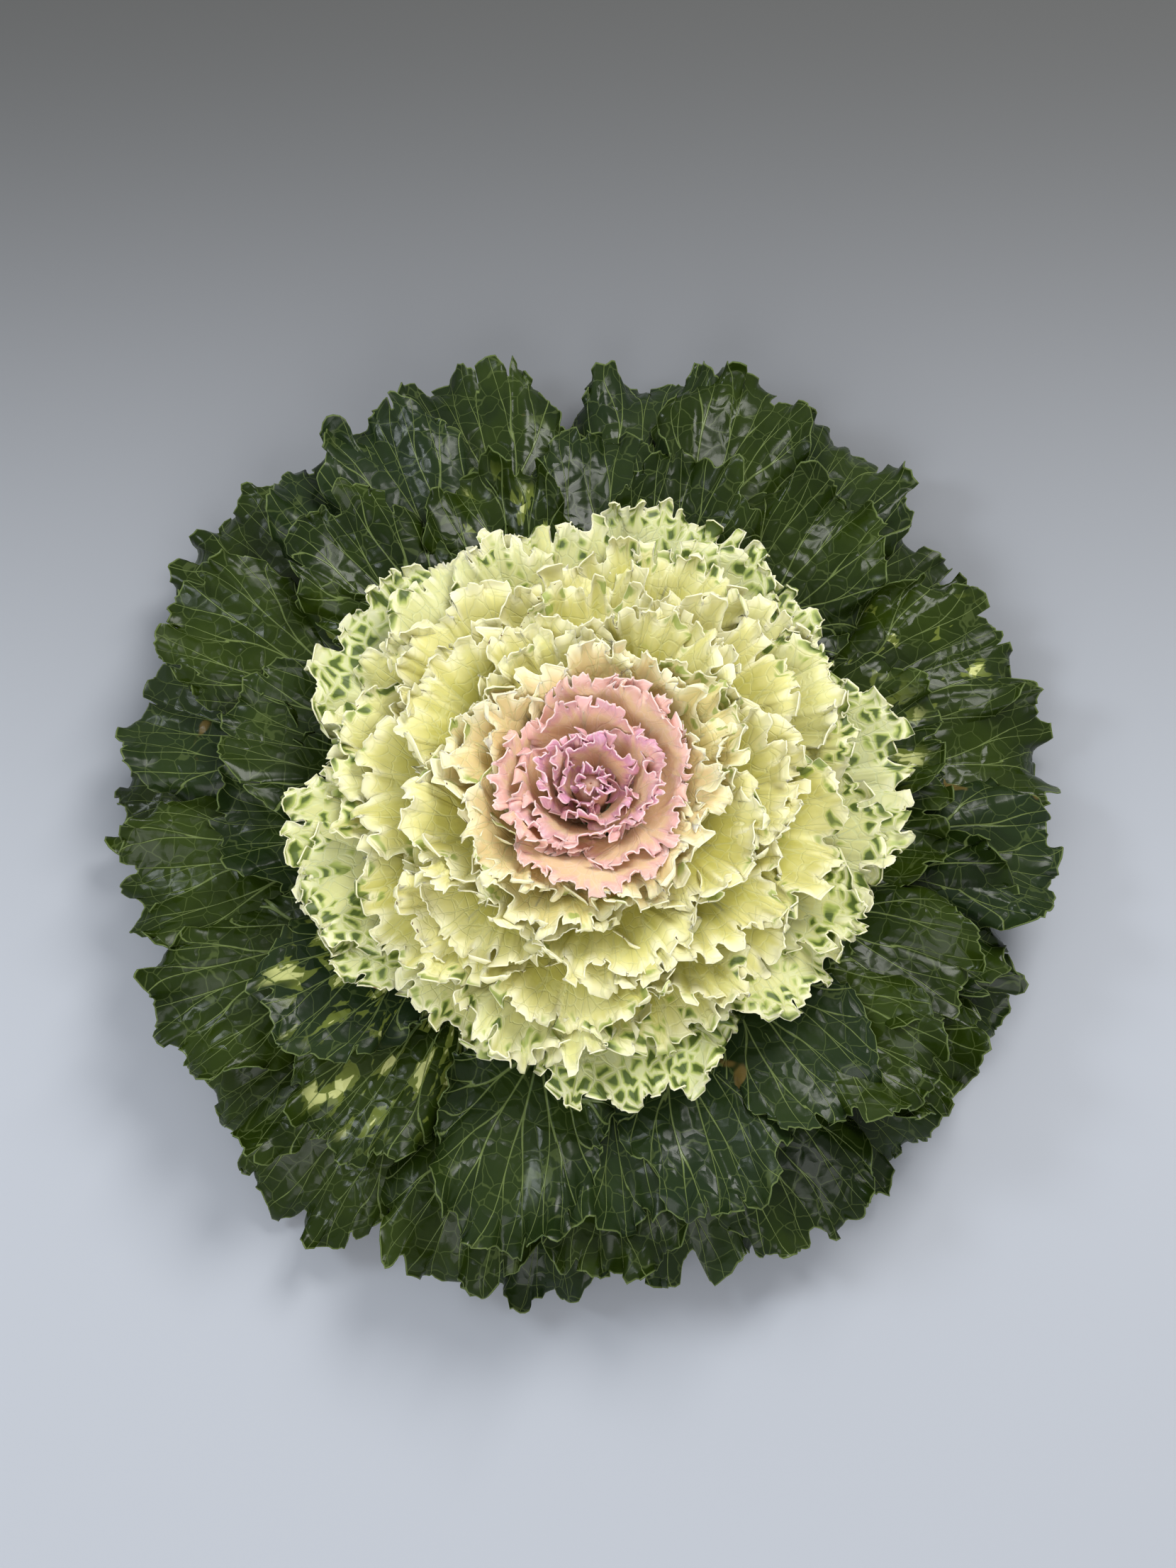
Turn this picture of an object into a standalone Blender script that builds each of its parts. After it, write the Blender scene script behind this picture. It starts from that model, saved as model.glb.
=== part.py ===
"""A head of ornamental kale, cut low on its stem and resting face up on the cut.

The stem is one tapered stump with a flat cut. Leaves climb it on one spiral, a golden angle apart:
first the broad dark green ones, then the frilled cream ones, then the pink ones of the heart.
The leaves of each colour are fused at their bases into a collar round the stem. Metres, +Z up,
origin at the centre of the cut.
"""

import math
from dataclasses import dataclass

import bmesh
import bpy
import numpy as np

MM = 0.001
SHARP_ANGLE = math.radians(45)

# The spiral: every leaf stands about a golden angle on from the one below it.
GOLDEN_ANGLE = math.radians(137.508)
AZIMUTH_JITTER = math.radians(6)
REACH_JITTER = 2.5 * MM
HEIGHT_JITTER = 2 * MM
ROLL_JITTER = 0.08
SEED = 5

# The green leaves in their order up the stem, as direction in degrees and reach in millimetres.
GREEN_LEAVES = [
    (261, 198), (37, 188), (175, 191), (312, 183), (82, 199), (232, 199), (11, 191), (141, 206),
    (283, 185), (55, 202), (200, 181), (333, 183), (106, 203), (252, 192), (26, 188), (165, 192),
    (299, 190), (70, 202), (219, 189), (355, 188), (127, 194), (273, 181), (344, 175), (188, 189),
    (324, 182), (119, 194), (207, 190), (152, 191),
    (88, 163), (231, 167), (360, 142), (149, 148), (274, 164), (51, 171), (180, 149), (335, 163),
    (108, 151), (258, 176), (16, 144), (165, 150), (290, 168), (72, 154), (215, 152), (319, 172),
    (132, 167), (310, 156),
]

# The stem, from the cut up to where the heart stands on it.
STEM_HEIGHTS = np.array([0, 10, 44, 72]) * MM
STEM_RADII = np.array([16.5, 17.5, 15.5, 9]) * MM
STEM_SIDES = 14
CORE_SIDES = 14
FIT_GAP = 0.4 * MM

# Outer profiles of the fused leaf bases, as radius and height in millimetres from the underside up.
GREEN_CORE = [(30, 12), (44, 20), (50, 33), (44, 43), (26, 42.5)]
CREAM_CORE = [(30, 49.5), (46, 54), (52, 68), (47, 88), (36, 99), (27, 93), (14, 72)]

# The bud that the heart's leaves grow from, standing on the tip of the stem.
HEART_RADII = np.array([6, 7, 4]) * MM
HEART_HEIGHTS = np.array([75, 84, 98]) * MM
HEART_SIDES = 8

# A blade is a fan round the top of the leaf stalk, with one ring of points inside its margin.
MIDDLE_RING = 0.56
BLADE_THICKNESS = 0.9 * MM
NOTCH = 0.04

# Two bowls keep the colours apart, given as radius and height. Green lies under the first and
# pink in the second, with the cream leaves between them.
GREEN_CREAM_BOWL = np.array([[0, 45], [24, 46], [60, 52], [100, 60], [130, 64], [150, 68], [230, 84]]) * MM
CREAM_PINK_BOWL = np.array([[0, 73], [10, 76], [24, 98], [33, 109], [44, 119], [60, 131], [230, 165]]) * MM
BOWL_CLEARANCE = 1.2 * MM
LOWEST_LEAF = 0.8 * MM


@dataclass(frozen=True)
class LeafStage:
    """How leaves of one colour change from the first, outermost one to the last, innermost one."""

    count: int
    fans: int
    fan_limit: float
    reach: tuple
    tip_height: tuple
    root_radius: tuple
    root_height: tuple
    root_angle: tuple
    tip_angle: tuple
    blade_length: tuple
    breadth: tuple
    wave: tuple
    cup: tuple
    stalk_width: tuple
    stalk_thickness: tuple
    kept_triangles: float
    colour: tuple
    roughness: float


GREEN = LeafStage(
    count=len(GREEN_LEAVES),
    fans=8,
    fan_limit=108,
    reach=(190 * MM, 150 * MM),
    tip_height=(9 * MM, 66 * MM),
    root_radius=(20 * MM, 20 * MM),
    root_height=(17 * MM, 38 * MM),
    root_angle=(12, 16),
    tip_angle=(-30, 6),
    blade_length=(92 * MM, 78 * MM),
    breadth=(0.62, 0.62),
    wave=(7 * MM, 6 * MM),
    cup=(-0.10, 0.06),
    stalk_width=(15 * MM, 13 * MM),
    stalk_thickness=(6 * MM, 5 * MM),
    kept_triangles=0.78,
    colour=(0.030, 0.075, 0.022),
    roughness=0.35,
)
CREAM = LeafStage(
    count=36,
    fans=8,
    fan_limit=108,
    reach=(129 * MM, 50 * MM),
    tip_height=(73 * MM, 121 * MM),
    root_radius=(22 * MM, 20 * MM),
    root_height=(55 * MM, 68 * MM),
    root_angle=(14, 66),
    tip_angle=(-3, 24),
    blade_length=(68 * MM, 42 * MM),
    breadth=(0.86, 0.92),
    wave=(6.5 * MM, 5 * MM),
    cup=(0.05, 0.16),
    stalk_width=(14 * MM, 9 * MM),
    stalk_thickness=(5 * MM, 3.5 * MM),
    kept_triangles=0.85,
    colour=(0.80, 0.82, 0.46),
    roughness=0.5,
)
PINK = LeafStage(
    count=13,
    fans=6,
    fan_limit=90,
    reach=(42 * MM, 5 * MM),
    tip_height=(123 * MM, 114 * MM),
    root_radius=(6 * MM, 1.5 * MM),
    root_height=(79 * MM, 82 * MM),
    root_angle=(76, 88),
    tip_angle=(38, 96),
    blade_length=(36 * MM, 22 * MM),
    breadth=(0.95, 0.60),
    wave=(3.6 * MM, 1.6 * MM),
    cup=(0.10, 0.25),
    stalk_width=(8 * MM, 4 * MM),
    stalk_thickness=(3 * MM, 2 * MM),
    kept_triangles=0.85,
    colour=(0.66, 0.36, 0.46),
    roughness=0.5,
)


def clear_scene():
    """Remove whatever the scene starts with."""
    for obj in list(bpy.data.objects):
        bpy.data.objects.remove(obj, do_unlink=True)


def finish(name, colour, roughness):
    """A material with the part's own colour."""
    material = bpy.data.materials.new(name)
    material.use_nodes = True
    shader = material.node_tree.nodes["Principled BSDF"]
    shader.inputs["Base Color"].default_value = (*colour, 1)
    shader.inputs["Roughness"].default_value = roughness
    shader.inputs["Metallic"].default_value = 0
    return material


def add_object(name, points, faces, material=None):
    """A linked mesh object from points and faces."""
    mesh = bpy.data.meshes.new(name)
    mesh.from_pydata([tuple(map(float, point)) for point in points], [], faces)
    mesh.validate()
    if material:
        mesh.materials.append(material)
    obj = bpy.data.objects.new(name, mesh)
    bpy.context.scene.collection.objects.link(obj)
    return obj


def face_outwards(mesh):
    """Turn every face of a closed mesh outwards."""
    work = bmesh.new()
    work.from_mesh(mesh)
    bmesh.ops.recalc_face_normals(work, faces=work.faces)
    work.to_mesh(mesh)
    work.free()


def shade_round(mesh):
    """Shade a mesh smooth, with its edges kept sharp."""
    mesh.shade_smooth()
    mesh.set_sharp_from_angle(angle=SHARP_ANGLE)


def turned(name, radii, heights, sides, closed_profile, material=None):
    """A solid turned about Z. An open profile gets flat ends and a closed one makes a ring."""
    turns = np.arange(sides) * 2 * math.pi / sides
    points = [
        (radius * math.cos(turn), radius * math.sin(turn), height)
        for radius, height in zip(radii, heights)
        for turn in turns
    ]
    rows = len(radii)
    row_pairs = [(row, (row + 1) % rows) for row in range(rows if closed_profile else rows - 1)]
    faces = [
        (low * sides + side, low * sides + (side + 1) % sides, high * sides + (side + 1) % sides, high * sides + side)
        for low, high in row_pairs
        for side in range(sides)
    ]
    if not closed_profile:
        faces.append(tuple(range(sides))[::-1])
        faces.append(tuple(range((rows - 1) * sides, rows * sides)))
    obj = add_object(name, points, faces, material)
    face_outwards(obj.data)
    shade_round(obj.data)
    return obj


def blend(pair, share):
    """The value a share of the way from the first of the pair to the last."""
    return pair[0] + (pair[1] - pair[0]) * share


class Leaf:
    """One leaf of a stage: a stalk that widens into a waved fan, as one closed slab.

    Flat leaf coordinates are x across and y outwards, with the top of the stalk at the origin.
    The leaf is laid along its rib, a cubic curve from the root to the tip in the plane of the axis.
    """

    def __init__(self, stage, share, azimuth, reach, draw):
        self.azimuth = azimuth
        self.fans = stage.fans
        self.fan_limit = math.radians(stage.fan_limit)
        self.roll = draw.uniform(-ROLL_JITTER, ROLL_JITTER)
        self.wave = blend(stage.wave, share)
        self.cup = blend(stage.cup, share)
        self.blade = blend(stage.blade_length, share)
        self.breadth = blend(stage.breadth, share)
        self.stalk_width = blend(stage.stalk_width, share)
        self.stalk_thickness = blend(stage.stalk_thickness, share)
        root = np.array([blend(stage.root_radius, share), blend(stage.root_height, share)])
        tip = np.array([reach, blend(stage.tip_height, share) + draw.uniform(-HEIGHT_JITTER, HEIGHT_JITTER)])
        chord = np.linalg.norm(tip - root)
        rise = math.radians(blend(stage.root_angle, share))
        fall = math.radians(blend(stage.tip_angle, share))
        leave = root + 0.38 * chord * np.array([math.cos(rise), math.sin(rise)])
        arrive = tip - 0.38 * chord * np.array([math.cos(fall), math.sin(fall)])
        self.rib = (root, leave, arrive, tip)
        samples = self.on_rib(np.linspace(0, 1, 40))[0]
        self.length = np.linalg.norm(np.diff(samples, axis=0), axis=1).sum()
        self.stalk_end = 1 - self.blade / self.length

    def on_rib(self, along):
        """Points of the rib, as radius and height, and its upward normals there."""
        t = np.asarray(along, float)[:, None]
        a, b, c, d = self.rib
        point = (1 - t) ** 3 * a + 3 * (1 - t) ** 2 * t * b + 3 * (1 - t) * t**2 * c + t**3 * d
        slope = 3 * (1 - t) ** 2 * (b - a) + 6 * (1 - t) * t * (c - b) + 3 * t**2 * (d - c)
        slope /= np.linalg.norm(slope, axis=1, keepdims=True)
        return point, np.stack([-slope[:, 1], slope[:, 0]], axis=1)

    def place(self, x, y, lift):
        """Space points and upward normals of flat leaf points lifted off the leaf's middle surface."""
        along = np.clip(self.stalk_end + y / self.length, 0, 1.02)
        point, up = self.on_rib(along)
        bend = self.roll * x + self.cup * x * x / (0.6 * self.blade)
        point = point + up * (lift + bend)[:, None]
        turn = self.azimuth + x / np.hypot(point[:, 0], 10 * MM)
        spoke = np.stack([np.cos(turn), np.sin(turn), np.zeros_like(turn)], axis=1)
        upright = np.array([0.0, 0.0, 1.0])
        return point[:, :1] * spoke + point[:, 1:] * upright, up[:, :1] * spoke + up[:, 1:] * upright

    def outline(self, turn):
        """The blade's radius at an angle from its middle line: long ahead, short at the lobes behind."""
        return self.blade * (0.36 + 0.68 / (1 + (turn / 1.2) ** 4))

    def solid(self, floor_bowl, roof_bowl):
        """Points and faces of the closed slab, bent clear of the bowls."""
        fans = self.fans
        turn = np.linspace(-self.fan_limit, self.fan_limit, fans + 1)
        crest = np.where(np.arange(fans + 1) % 2 == fans // 2 % 2, -1.0, 1.0)
        margin = self.outline(turn) * (1 - NOTCH * (crest < 0))
        x = [0.0]
        y = [0.0]
        lift = [0.0]
        thickness = [0.6 * self.stalk_thickness]
        for ring, size, wave in ((MIDDLE_RING, 1.3 * BLADE_THICKNESS, 0.18), (1.0, BLADE_THICKNESS, 1.0)):
            x.extend(ring * margin * np.sin(turn) * self.breadth)
            y.extend(ring * margin * np.cos(turn))
            lift.extend(wave * self.wave * crest * np.clip(0.55 + np.abs(turn), 0, 1))
            thickness.extend(np.full(fans + 1, size))
        stalk = self.stalk_end * self.length
        x.extend([-0.5 * self.stalk_width, 0.5 * self.stalk_width])
        y.extend([-stalk, -stalk])
        lift.extend([0.0, 0.0])
        thickness.extend([self.stalk_thickness, self.stalk_thickness])
        x, y, lift, thickness = map(np.array, (x, y, lift, thickness))
        middle, up = self.place(x, y, lift)
        middle = kept_between(middle, 0.5 * thickness, floor_bowl, roof_bowl)
        top = middle + 0.5 * thickness[:, None] * up
        bottom = middle - 0.5 * thickness[:, None] * up

        inner, outer, root = 1, fans + 2, 2 * fans + 3
        upper = []
        for fan in range(fans):
            upper.append((0, inner + fan + 1, inner + fan))
            upper.append((inner + fan, inner + fan + 1, outer + fan))
            upper.append((inner + fan + 1, outer + fan + 1, outer + fan))
        upper.append((0, inner, root))
        upper.append((0, root, root + 1))
        upper.append((0, root + 1, inner + fans))
        edge = [root, inner, *range(outer, outer + fans + 1), inner + fans, root + 1]
        count = len(x)
        lower = [tuple(count + corner for corner in face[::-1]) for face in upper]
        rim = []
        for start, end in zip(edge, edge[1:] + edge[:1]):
            rim.append((start, end, count + end))
            rim.append((start, count + end, count + start))
        return np.concatenate([top, bottom]), upper + lower + rim


def kept_between(points, half_thickness, floor_bowl, roof_bowl):
    """Bend points clear of the bowls that part the colours, and of the surface the head rests on."""
    radius = np.hypot(points[:, 0], points[:, 1])
    floor = LOWEST_LEAF + half_thickness
    if floor_bowl is not None:
        floor = np.interp(radius, floor_bowl[:, 0], floor_bowl[:, 1]) + BOWL_CLEARANCE + half_thickness
    roof = np.full(len(points), 1.0)
    if roof_bowl is not None:
        roof = np.interp(radius, roof_bowl[:, 0], roof_bowl[:, 1]) - BOWL_CLEARANCE - half_thickness
    bent = points.copy()
    bent[:, 2] = np.clip(points[:, 2], floor, roof)
    return bent


def shape_through(core, modifier):
    """Apply the core's one modifier to its mesh."""
    bpy.context.view_layer.update()
    shaped = core.evaluated_get(bpy.context.evaluated_depsgraph_get())
    core.data = bpy.data.meshes.new_from_object(shaped)
    core.modifiers.remove(modifier)


def fuse(core, leaves, kept_triangles):
    """Join the leaves to their core with one Boolean union and thin out the small triangles it makes."""
    group = bpy.data.collections.new(core.name + "_leaves")
    bpy.context.scene.collection.children.link(group)
    for leaf in leaves:
        bpy.context.scene.collection.objects.unlink(leaf)
        group.objects.link(leaf)
    union = core.modifiers.new("union", "BOOLEAN")
    union.operation = "UNION"
    union.operand_type = "COLLECTION"
    union.collection = group
    union.solver = "EXACT"
    shape_through(core, union)
    for leaf in leaves:
        bpy.data.objects.remove(leaf, do_unlink=True)
    bpy.data.collections.remove(group)
    keep_outer_body(core.data)
    thin_out = core.modifiers.new("thin_out", "DECIMATE")
    thin_out.ratio = kept_triangles
    shape_through(core, thin_out)
    shade_round(core.data)


def keep_outer_body(mesh):
    """Fill sealed hollows and drop loose scraps: only the body with the most volume stays."""
    work = bmesh.new()
    work.from_mesh(mesh)
    bmesh.ops.triangulate(work, faces=work.faces)
    unseen = set(work.faces)
    bodies = []
    while unseen:
        front = [unseen.pop()]
        body = list(front)
        while front:
            for edge in front.pop().edges:
                for face in edge.link_faces:
                    if face in unseen:
                        unseen.remove(face)
                        front.append(face)
                        body.append(face)
        bodies.append(body)
    bodies.sort(key=lambda body: sum(signed_volume(face) for face in body))
    scraps = [face for body in bodies[:-1] for face in body]
    bmesh.ops.delete(work, geom=scraps, context="FACES")
    work.to_mesh(mesh)
    work.free()


def signed_volume(face):
    """Six times the volume between a triangle and the origin."""
    a, b, c = (corner.co for corner in face.verts)
    return a.cross(b).dot(c)


def build_stem():
    """The cut stump that the leaves grow from."""
    material = finish("stem", (0.55, 0.62, 0.34), 0.6)
    return turned("stem", STEM_RADII, STEM_HEIGHTS, STEM_SIDES, closed_profile=False, material=material)


def collar(name, outer_profile, material):
    """The ring of fused leaf bases round the stem, from its outer profile, lowest point first."""
    profile = np.array(outer_profile) * MM
    bore = np.interp([profile[-1, 1], profile[0, 1]], STEM_HEIGHTS, STEM_RADII) + 2 * FIT_GAP
    radii = [*profile[:, 0], *bore]
    heights = [*profile[:, 1], profile[-1, 1], profile[0, 1]]
    return turned(name, radii, heights, CORE_SIDES, closed_profile=True, material=material)


def on_spiral(stage, first_turn, draw):
    """Directions and reaches of the leaves of a stage that follow the spiral on their own."""
    for number in range(stage.count):
        azimuth = (first_turn + number) * GOLDEN_ANGLE + draw.uniform(-AZIMUTH_JITTER, AZIMUTH_JITTER)
        reach = blend(stage.reach, number / (stage.count - 1)) + draw.uniform(-REACH_JITTER, REACH_JITTER)
        yield azimuth, reach


def build_leaves(core, stage, directions, floor_bowl, roof_bowl, draw):
    """All leaves of one colour, fused to their core."""
    leaves = []
    for number, (azimuth, reach) in enumerate(directions):
        leaf = Leaf(stage, number / (stage.count - 1), azimuth, reach, draw)
        points, faces = leaf.solid(floor_bowl, roof_bowl)
        obj = add_object(f"{core.name}_{number}", points, faces)
        face_outwards(obj.data)
        leaves.append(obj)
    fuse(core, leaves, stage.kept_triangles)


def main():
    """Build the stem and the leaves of the three colours."""
    clear_scene()
    draw = np.random.default_rng(SEED)
    build_stem()
    green_core = collar("green_leaves", GREEN_CORE, finish("green_leaf", GREEN.colour, GREEN.roughness))
    measured = [(math.radians(direction), reach * MM) for direction, reach in GREEN_LEAVES]
    build_leaves(green_core, GREEN, measured, None, GREEN_CREAM_BOWL, draw)
    cream_core = collar("cream_leaves", CREAM_CORE, finish("cream_leaf", CREAM.colour, CREAM.roughness))
    spiral = list(on_spiral(CREAM, 0, draw))
    build_leaves(cream_core, CREAM, spiral, GREEN_CREAM_BOWL, CREAM_PINK_BOWL, draw)
    pink = finish("pink_leaf", PINK.colour, PINK.roughness)
    heart = turned("pink_heart", HEART_RADII, HEART_HEIGHTS, HEART_SIDES, closed_profile=False, material=pink)
    build_leaves(heart, PINK, list(on_spiral(PINK, CREAM.count, draw)), CREAM_PINK_BOWL, None, draw)


main()
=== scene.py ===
"""Looks of an ornamental kale head: veined green leaves, frilled cream leaves and a pink heart.

Every leaf is a fan of rays from the top of its stalk. Along each ray the surface turns up and down
by an angle that swings ever faster towards the margin, which is what makes a frill. The flat fan is
then laid along the leaf's rib, a cubic curve in the plane of the stem's axis.
"""

from __future__ import annotations

import logging
import math
from collections.abc import Iterator
from dataclasses import dataclass, field
from enum import Enum

import bpy
import numpy as np
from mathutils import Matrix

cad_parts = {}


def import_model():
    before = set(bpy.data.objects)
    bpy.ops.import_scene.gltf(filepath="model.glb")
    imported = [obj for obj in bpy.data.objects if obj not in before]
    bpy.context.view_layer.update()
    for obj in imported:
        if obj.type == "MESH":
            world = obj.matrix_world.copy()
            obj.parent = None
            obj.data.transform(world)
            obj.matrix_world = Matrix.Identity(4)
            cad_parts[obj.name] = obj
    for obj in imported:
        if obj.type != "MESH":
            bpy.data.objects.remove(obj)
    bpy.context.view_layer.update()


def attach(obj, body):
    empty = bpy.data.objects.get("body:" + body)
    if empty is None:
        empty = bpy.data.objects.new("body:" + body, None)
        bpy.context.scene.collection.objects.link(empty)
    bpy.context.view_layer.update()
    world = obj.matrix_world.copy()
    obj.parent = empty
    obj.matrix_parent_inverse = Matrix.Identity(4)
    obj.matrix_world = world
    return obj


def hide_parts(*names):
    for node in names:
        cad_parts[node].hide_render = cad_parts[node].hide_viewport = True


LOG = logging.getLogger("kale")
MM = 0.001
TAU = 2 * math.pi
GOLDEN_ANGLE = math.radians(137.508)
SEED = 5

# The distance from the margin that stalks and leaf bases carry, well clear of all marks near margins.
BASE_INWARD = 0.03

Array = np.ndarray
Draw = np.random.Generator
Socket = bpy.types.NodeSocket
Value = Socket | float | tuple
Pair = tuple[float, float]
Colour = tuple[float, float, float]

# The green leaves in their order up the stem, as direction in degrees and reach in millimetres.
GREEN_LEAVES = (
    (261, 190), (37, 188), (175, 194), (312, 183), (82, 199), (232, 199), (11, 191), (141, 206),
    (283, 185), (55, 202), (200, 181), (333, 183), (106, 203), (252, 192), (26, 188), (165, 192),
    (299, 190), (70, 202), (219, 189), (355, 188), (127, 194), (273, 181), (344, 175), (188, 189),
    (324, 182), (119, 194), (207, 190), (152, 191),
    (88, 163), (231, 167), (360, 142), (149, 148), (274, 164), (51, 171), (180, 149), (335, 163),
    (108, 151), (258, 176), (16, 144), (165, 150), (290, 168), (72, 154), (215, 152), (319, 172),
    (132, 167), (310, 156),
)

# The bowls that part the colours, as radius and height: green below the first, pink above the second.
GREEN_CREAM_BOWL = np.array([[0, 45], [24, 46], [60, 52], [100, 60], [130, 64], [150, 68], [230, 84]]) * MM
CREAM_PINK_BOWL = np.array([[0, 73], [10, 76], [24, 98], [33, 109], [44, 119], [60, 131], [230, 165]]) * MM


class Side(Enum):
    """Which face of a leaf a vertex lies on, as its mark in the leaf's attributes."""

    UPPER = 1.0
    LOWER = -1.0


def blend(pair: Pair, share: float) -> float:
    """The value a share of the way from the first of the pair to the last."""
    return pair[0] + (pair[1] - pair[0]) * share


def smooth_step(low: float | Array, high: float | Array, value: float | Array) -> Array:
    """Zero below low, one above high, with an S-shaped rise 3s^2 - 2s^3 between them."""
    share = np.clip((value - low) / (high - low), 0, 1)
    return share * share * (3 - 2 * share)


def wander(draw: Draw, along: Array, wavelength: float) -> Array:
    """Smooth noise along a line: five sines of mixed wavelengths and chance phases, about -1 to 1.

    Args:
        draw: the source of chance.
        along: distances along the line.
        wavelength: the typical distance between two crests.

    Returns:
        One value for each distance.
    """
    waves = wavelength * draw.uniform(0.6, 1.9, 5)
    phases = draw.uniform(0, TAU, 5)
    return np.sin(TAU * along[:, None] / waves + phases).sum(axis=1) / 2.6


@dataclass
class Surface:
    """Points and faces of a mesh in the making, with the attributes that its material reads.

    Attributes:
        points: the points.
        faces: blocks of faces with equally many corners, as numbers of points.
        flat: x and y of each point on the flat leaf, and the mark of its face.
        fan: direction, share along the ray and distance from the margin of each point.
    """

    points: Array
    faces: list[Array]
    flat: Array
    fan: Array

    def facing_out(self) -> Surface:
        """Turn the faces of the closed surface round where its volume comes out negative.

        Six times the volume is the sum of a . (b x c) over the corners of all triangles.

        Returns:
            This surface.
        """
        volume = 0.0
        for block in self.faces:
            corner = self.points[block]
            for last in range(2, block.shape[1]):
                cross = np.cross(corner[:, last - 1], corner[:, last])
                volume += float((corner[:, 0] * cross).sum())
        if volume < 0:
            self.faces = [block[:, ::-1] for block in self.faces]
        return self

    @staticmethod
    def joined(parts: list[Surface]) -> Surface:
        """Join several surfaces.

        Args:
            parts: the surfaces.

        Returns:
            One surface that holds them all.
        """
        offsets = np.cumsum([0] + [len(part.points) for part in parts[:-1]])
        faces = [block + offset for part, offset in zip(parts, offsets) for block in part.faces]
        names = ("points", "flat", "fan")
        points, flat, fan = (np.concatenate([getattr(part, name) for part in parts]) for name in names)
        return Surface(points, faces, flat, fan)

    def to_object(self, name: str, leaf: Colour, material: bpy.types.Material) -> bpy.types.Object:
        """Make a linked object with this mesh, its attributes and its material.

        Args:
            name: the object's name.
            leaf: the leaf's share of the way up its stage, its chance number and its marbling.
            material: the finish of the whole mesh.

        Returns:
            The new object.
        """
        mesh = bpy.data.meshes.new(name)
        sizes = np.concatenate([np.full(len(block), block.shape[1]) for block in self.faces])
        corners = np.concatenate([block.ravel() for block in self.faces]).astype(np.int32)
        mesh.vertices.add(len(self.points))
        mesh.vertices.foreach_set("co", self.points.astype(np.float32).ravel())
        mesh.loops.add(len(corners))
        mesh.loops.foreach_set("vertex_index", corners)
        mesh.polygons.add(len(sizes))
        mesh.polygons.foreach_set("loop_start", np.concatenate([[0], np.cumsum(sizes)[:-1]]).astype(np.int32))
        mesh.update(calc_edges=True)
        mesh.validate()
        mesh.shade_smooth()
        constant = np.tile(np.array(leaf, float), (len(self.points), 1))
        for label, values in (("flat", self.flat), ("fan", self.fan), ("leaf", constant)):
            attribute = mesh.attributes.new(label, "FLOAT_VECTOR", "POINT")
            attribute.data.foreach_set("vector", values.astype(np.float32).ravel())
        mesh.materials.append(material)
        obj = bpy.data.objects.new(name, mesh)
        bpy.context.scene.collection.objects.link(obj)
        return obj


def slab(middle: Array, above: Array, below: Array, flat: Array, fan: Array) -> Surface:
    """A closed sheet from a grid of points on its middle surface.

    The upper and lower faces lie off the middle one along its normals, the cross products of the
    grid's two directions, and a strip round the grid's border joins them.

    Args:
        middle: grid of points, columns by rows by three.
        above: how far the upper face lies off the middle one.
        below: the same for the lower face.
        flat: x and y of the flat leaf, columns by rows by two.
        fan: direction, share along the ray and distance from the margin of each point.

    Returns:
        The closed surface.
    """
    columns, rows = middle.shape[:2]
    across = np.gradient(middle, axis=0)
    along = np.gradient(middle, axis=1)
    normal = np.cross(along, across)
    normal /= np.maximum(np.linalg.norm(normal, axis=2, keepdims=True), 1e-12)
    upper = middle + above[:, :, None] * normal
    lower = middle - below[:, :, None] * normal
    count = columns * rows
    index = np.arange(count).reshape(columns, rows)
    quads = np.stack([index[:-1, :-1], index[1:, :-1], index[1:, 1:], index[:-1, 1:]], axis=-1).reshape(-1, 4)
    border = np.concatenate([index[:-1, 0], index[-1, :-1], index[:0:-1, -1], index[0, :0:-1]])
    onward = np.roll(border, -1)
    strip = np.stack([onward, border, border + count, onward + count], axis=-1)
    marks = [np.full((columns, rows, 1), side.value) for side in Side]
    flats = np.concatenate([np.concatenate([flat, mark], axis=2).reshape(-1, 3) for mark in marks])
    fans = np.tile(fan.reshape(-1, 3), (2, 1))
    points = np.concatenate([upper.reshape(-1, 3), lower.reshape(-1, 3)])
    return Surface(points, [quads, quads[:, ::-1] + count, strip], flats, fans).facing_out()


def tube(rings: Array, flat: Array, fan: Array) -> Surface:
    """A closed tube through a stack of rings, with a many-sided face at each end.

    Args:
        rings: points of the rings, rings by sides by three.
        flat: the flat coordinates and side mark of each point.
        fan: the fan coordinates of each point.

    Returns:
        The closed surface.
    """
    count, sides = rings.shape[:2]
    index = np.arange(count * sides).reshape(count, sides)
    beside = np.roll(index, -1, axis=1)
    quads = np.stack([index[:-1], beside[:-1], beside[1:], index[1:]], axis=-1).reshape(-1, 4)
    ends = [index[:1, ::-1], index[-1:]]
    return Surface(rings.reshape(-1, 3), [quads, *ends], flat.reshape(-1, 3), fan.reshape(-1, 3)).facing_out()


@dataclass(frozen=True)
class Frill:
    """One order of waves that grows towards the margin.

    Attributes:
        wavelength: distance from crest to crest along the margin.
        depth: how far in from the margin the waves begin.
        swing: the angle that the blade turns up and down by at the margin, in radians.
        fold: how far crests lean over along the margin, as a share of the wavelength.
    """

    wavelength: float
    depth: float
    swing: float
    fold: float

    def waves(self, draw: Draw, along: Array, growth: float) -> tuple[Array, Array]:
        """The frill's uneven waves along the margin.

        Args:
            draw: the source of chance.
            along: distances along the margin.
            growth: how strong the waves are on this leaf.

        Returns:
            The height of the waves, a sine with a wandering phase and size, and how far they lean along
            the margin, minus the sine of twice the phase.
        """
        phase = TAU * along / self.wavelength + 2.2 * wander(draw, along, 3.0 * self.wavelength)
        size = growth * np.clip(0.8 + 0.8 * wander(draw, along, 2.2 * self.wavelength), 0.1, 1.35)
        return size * np.sin(phase), -self.fold * self.wavelength * size * np.sin(2 * phase)


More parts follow.
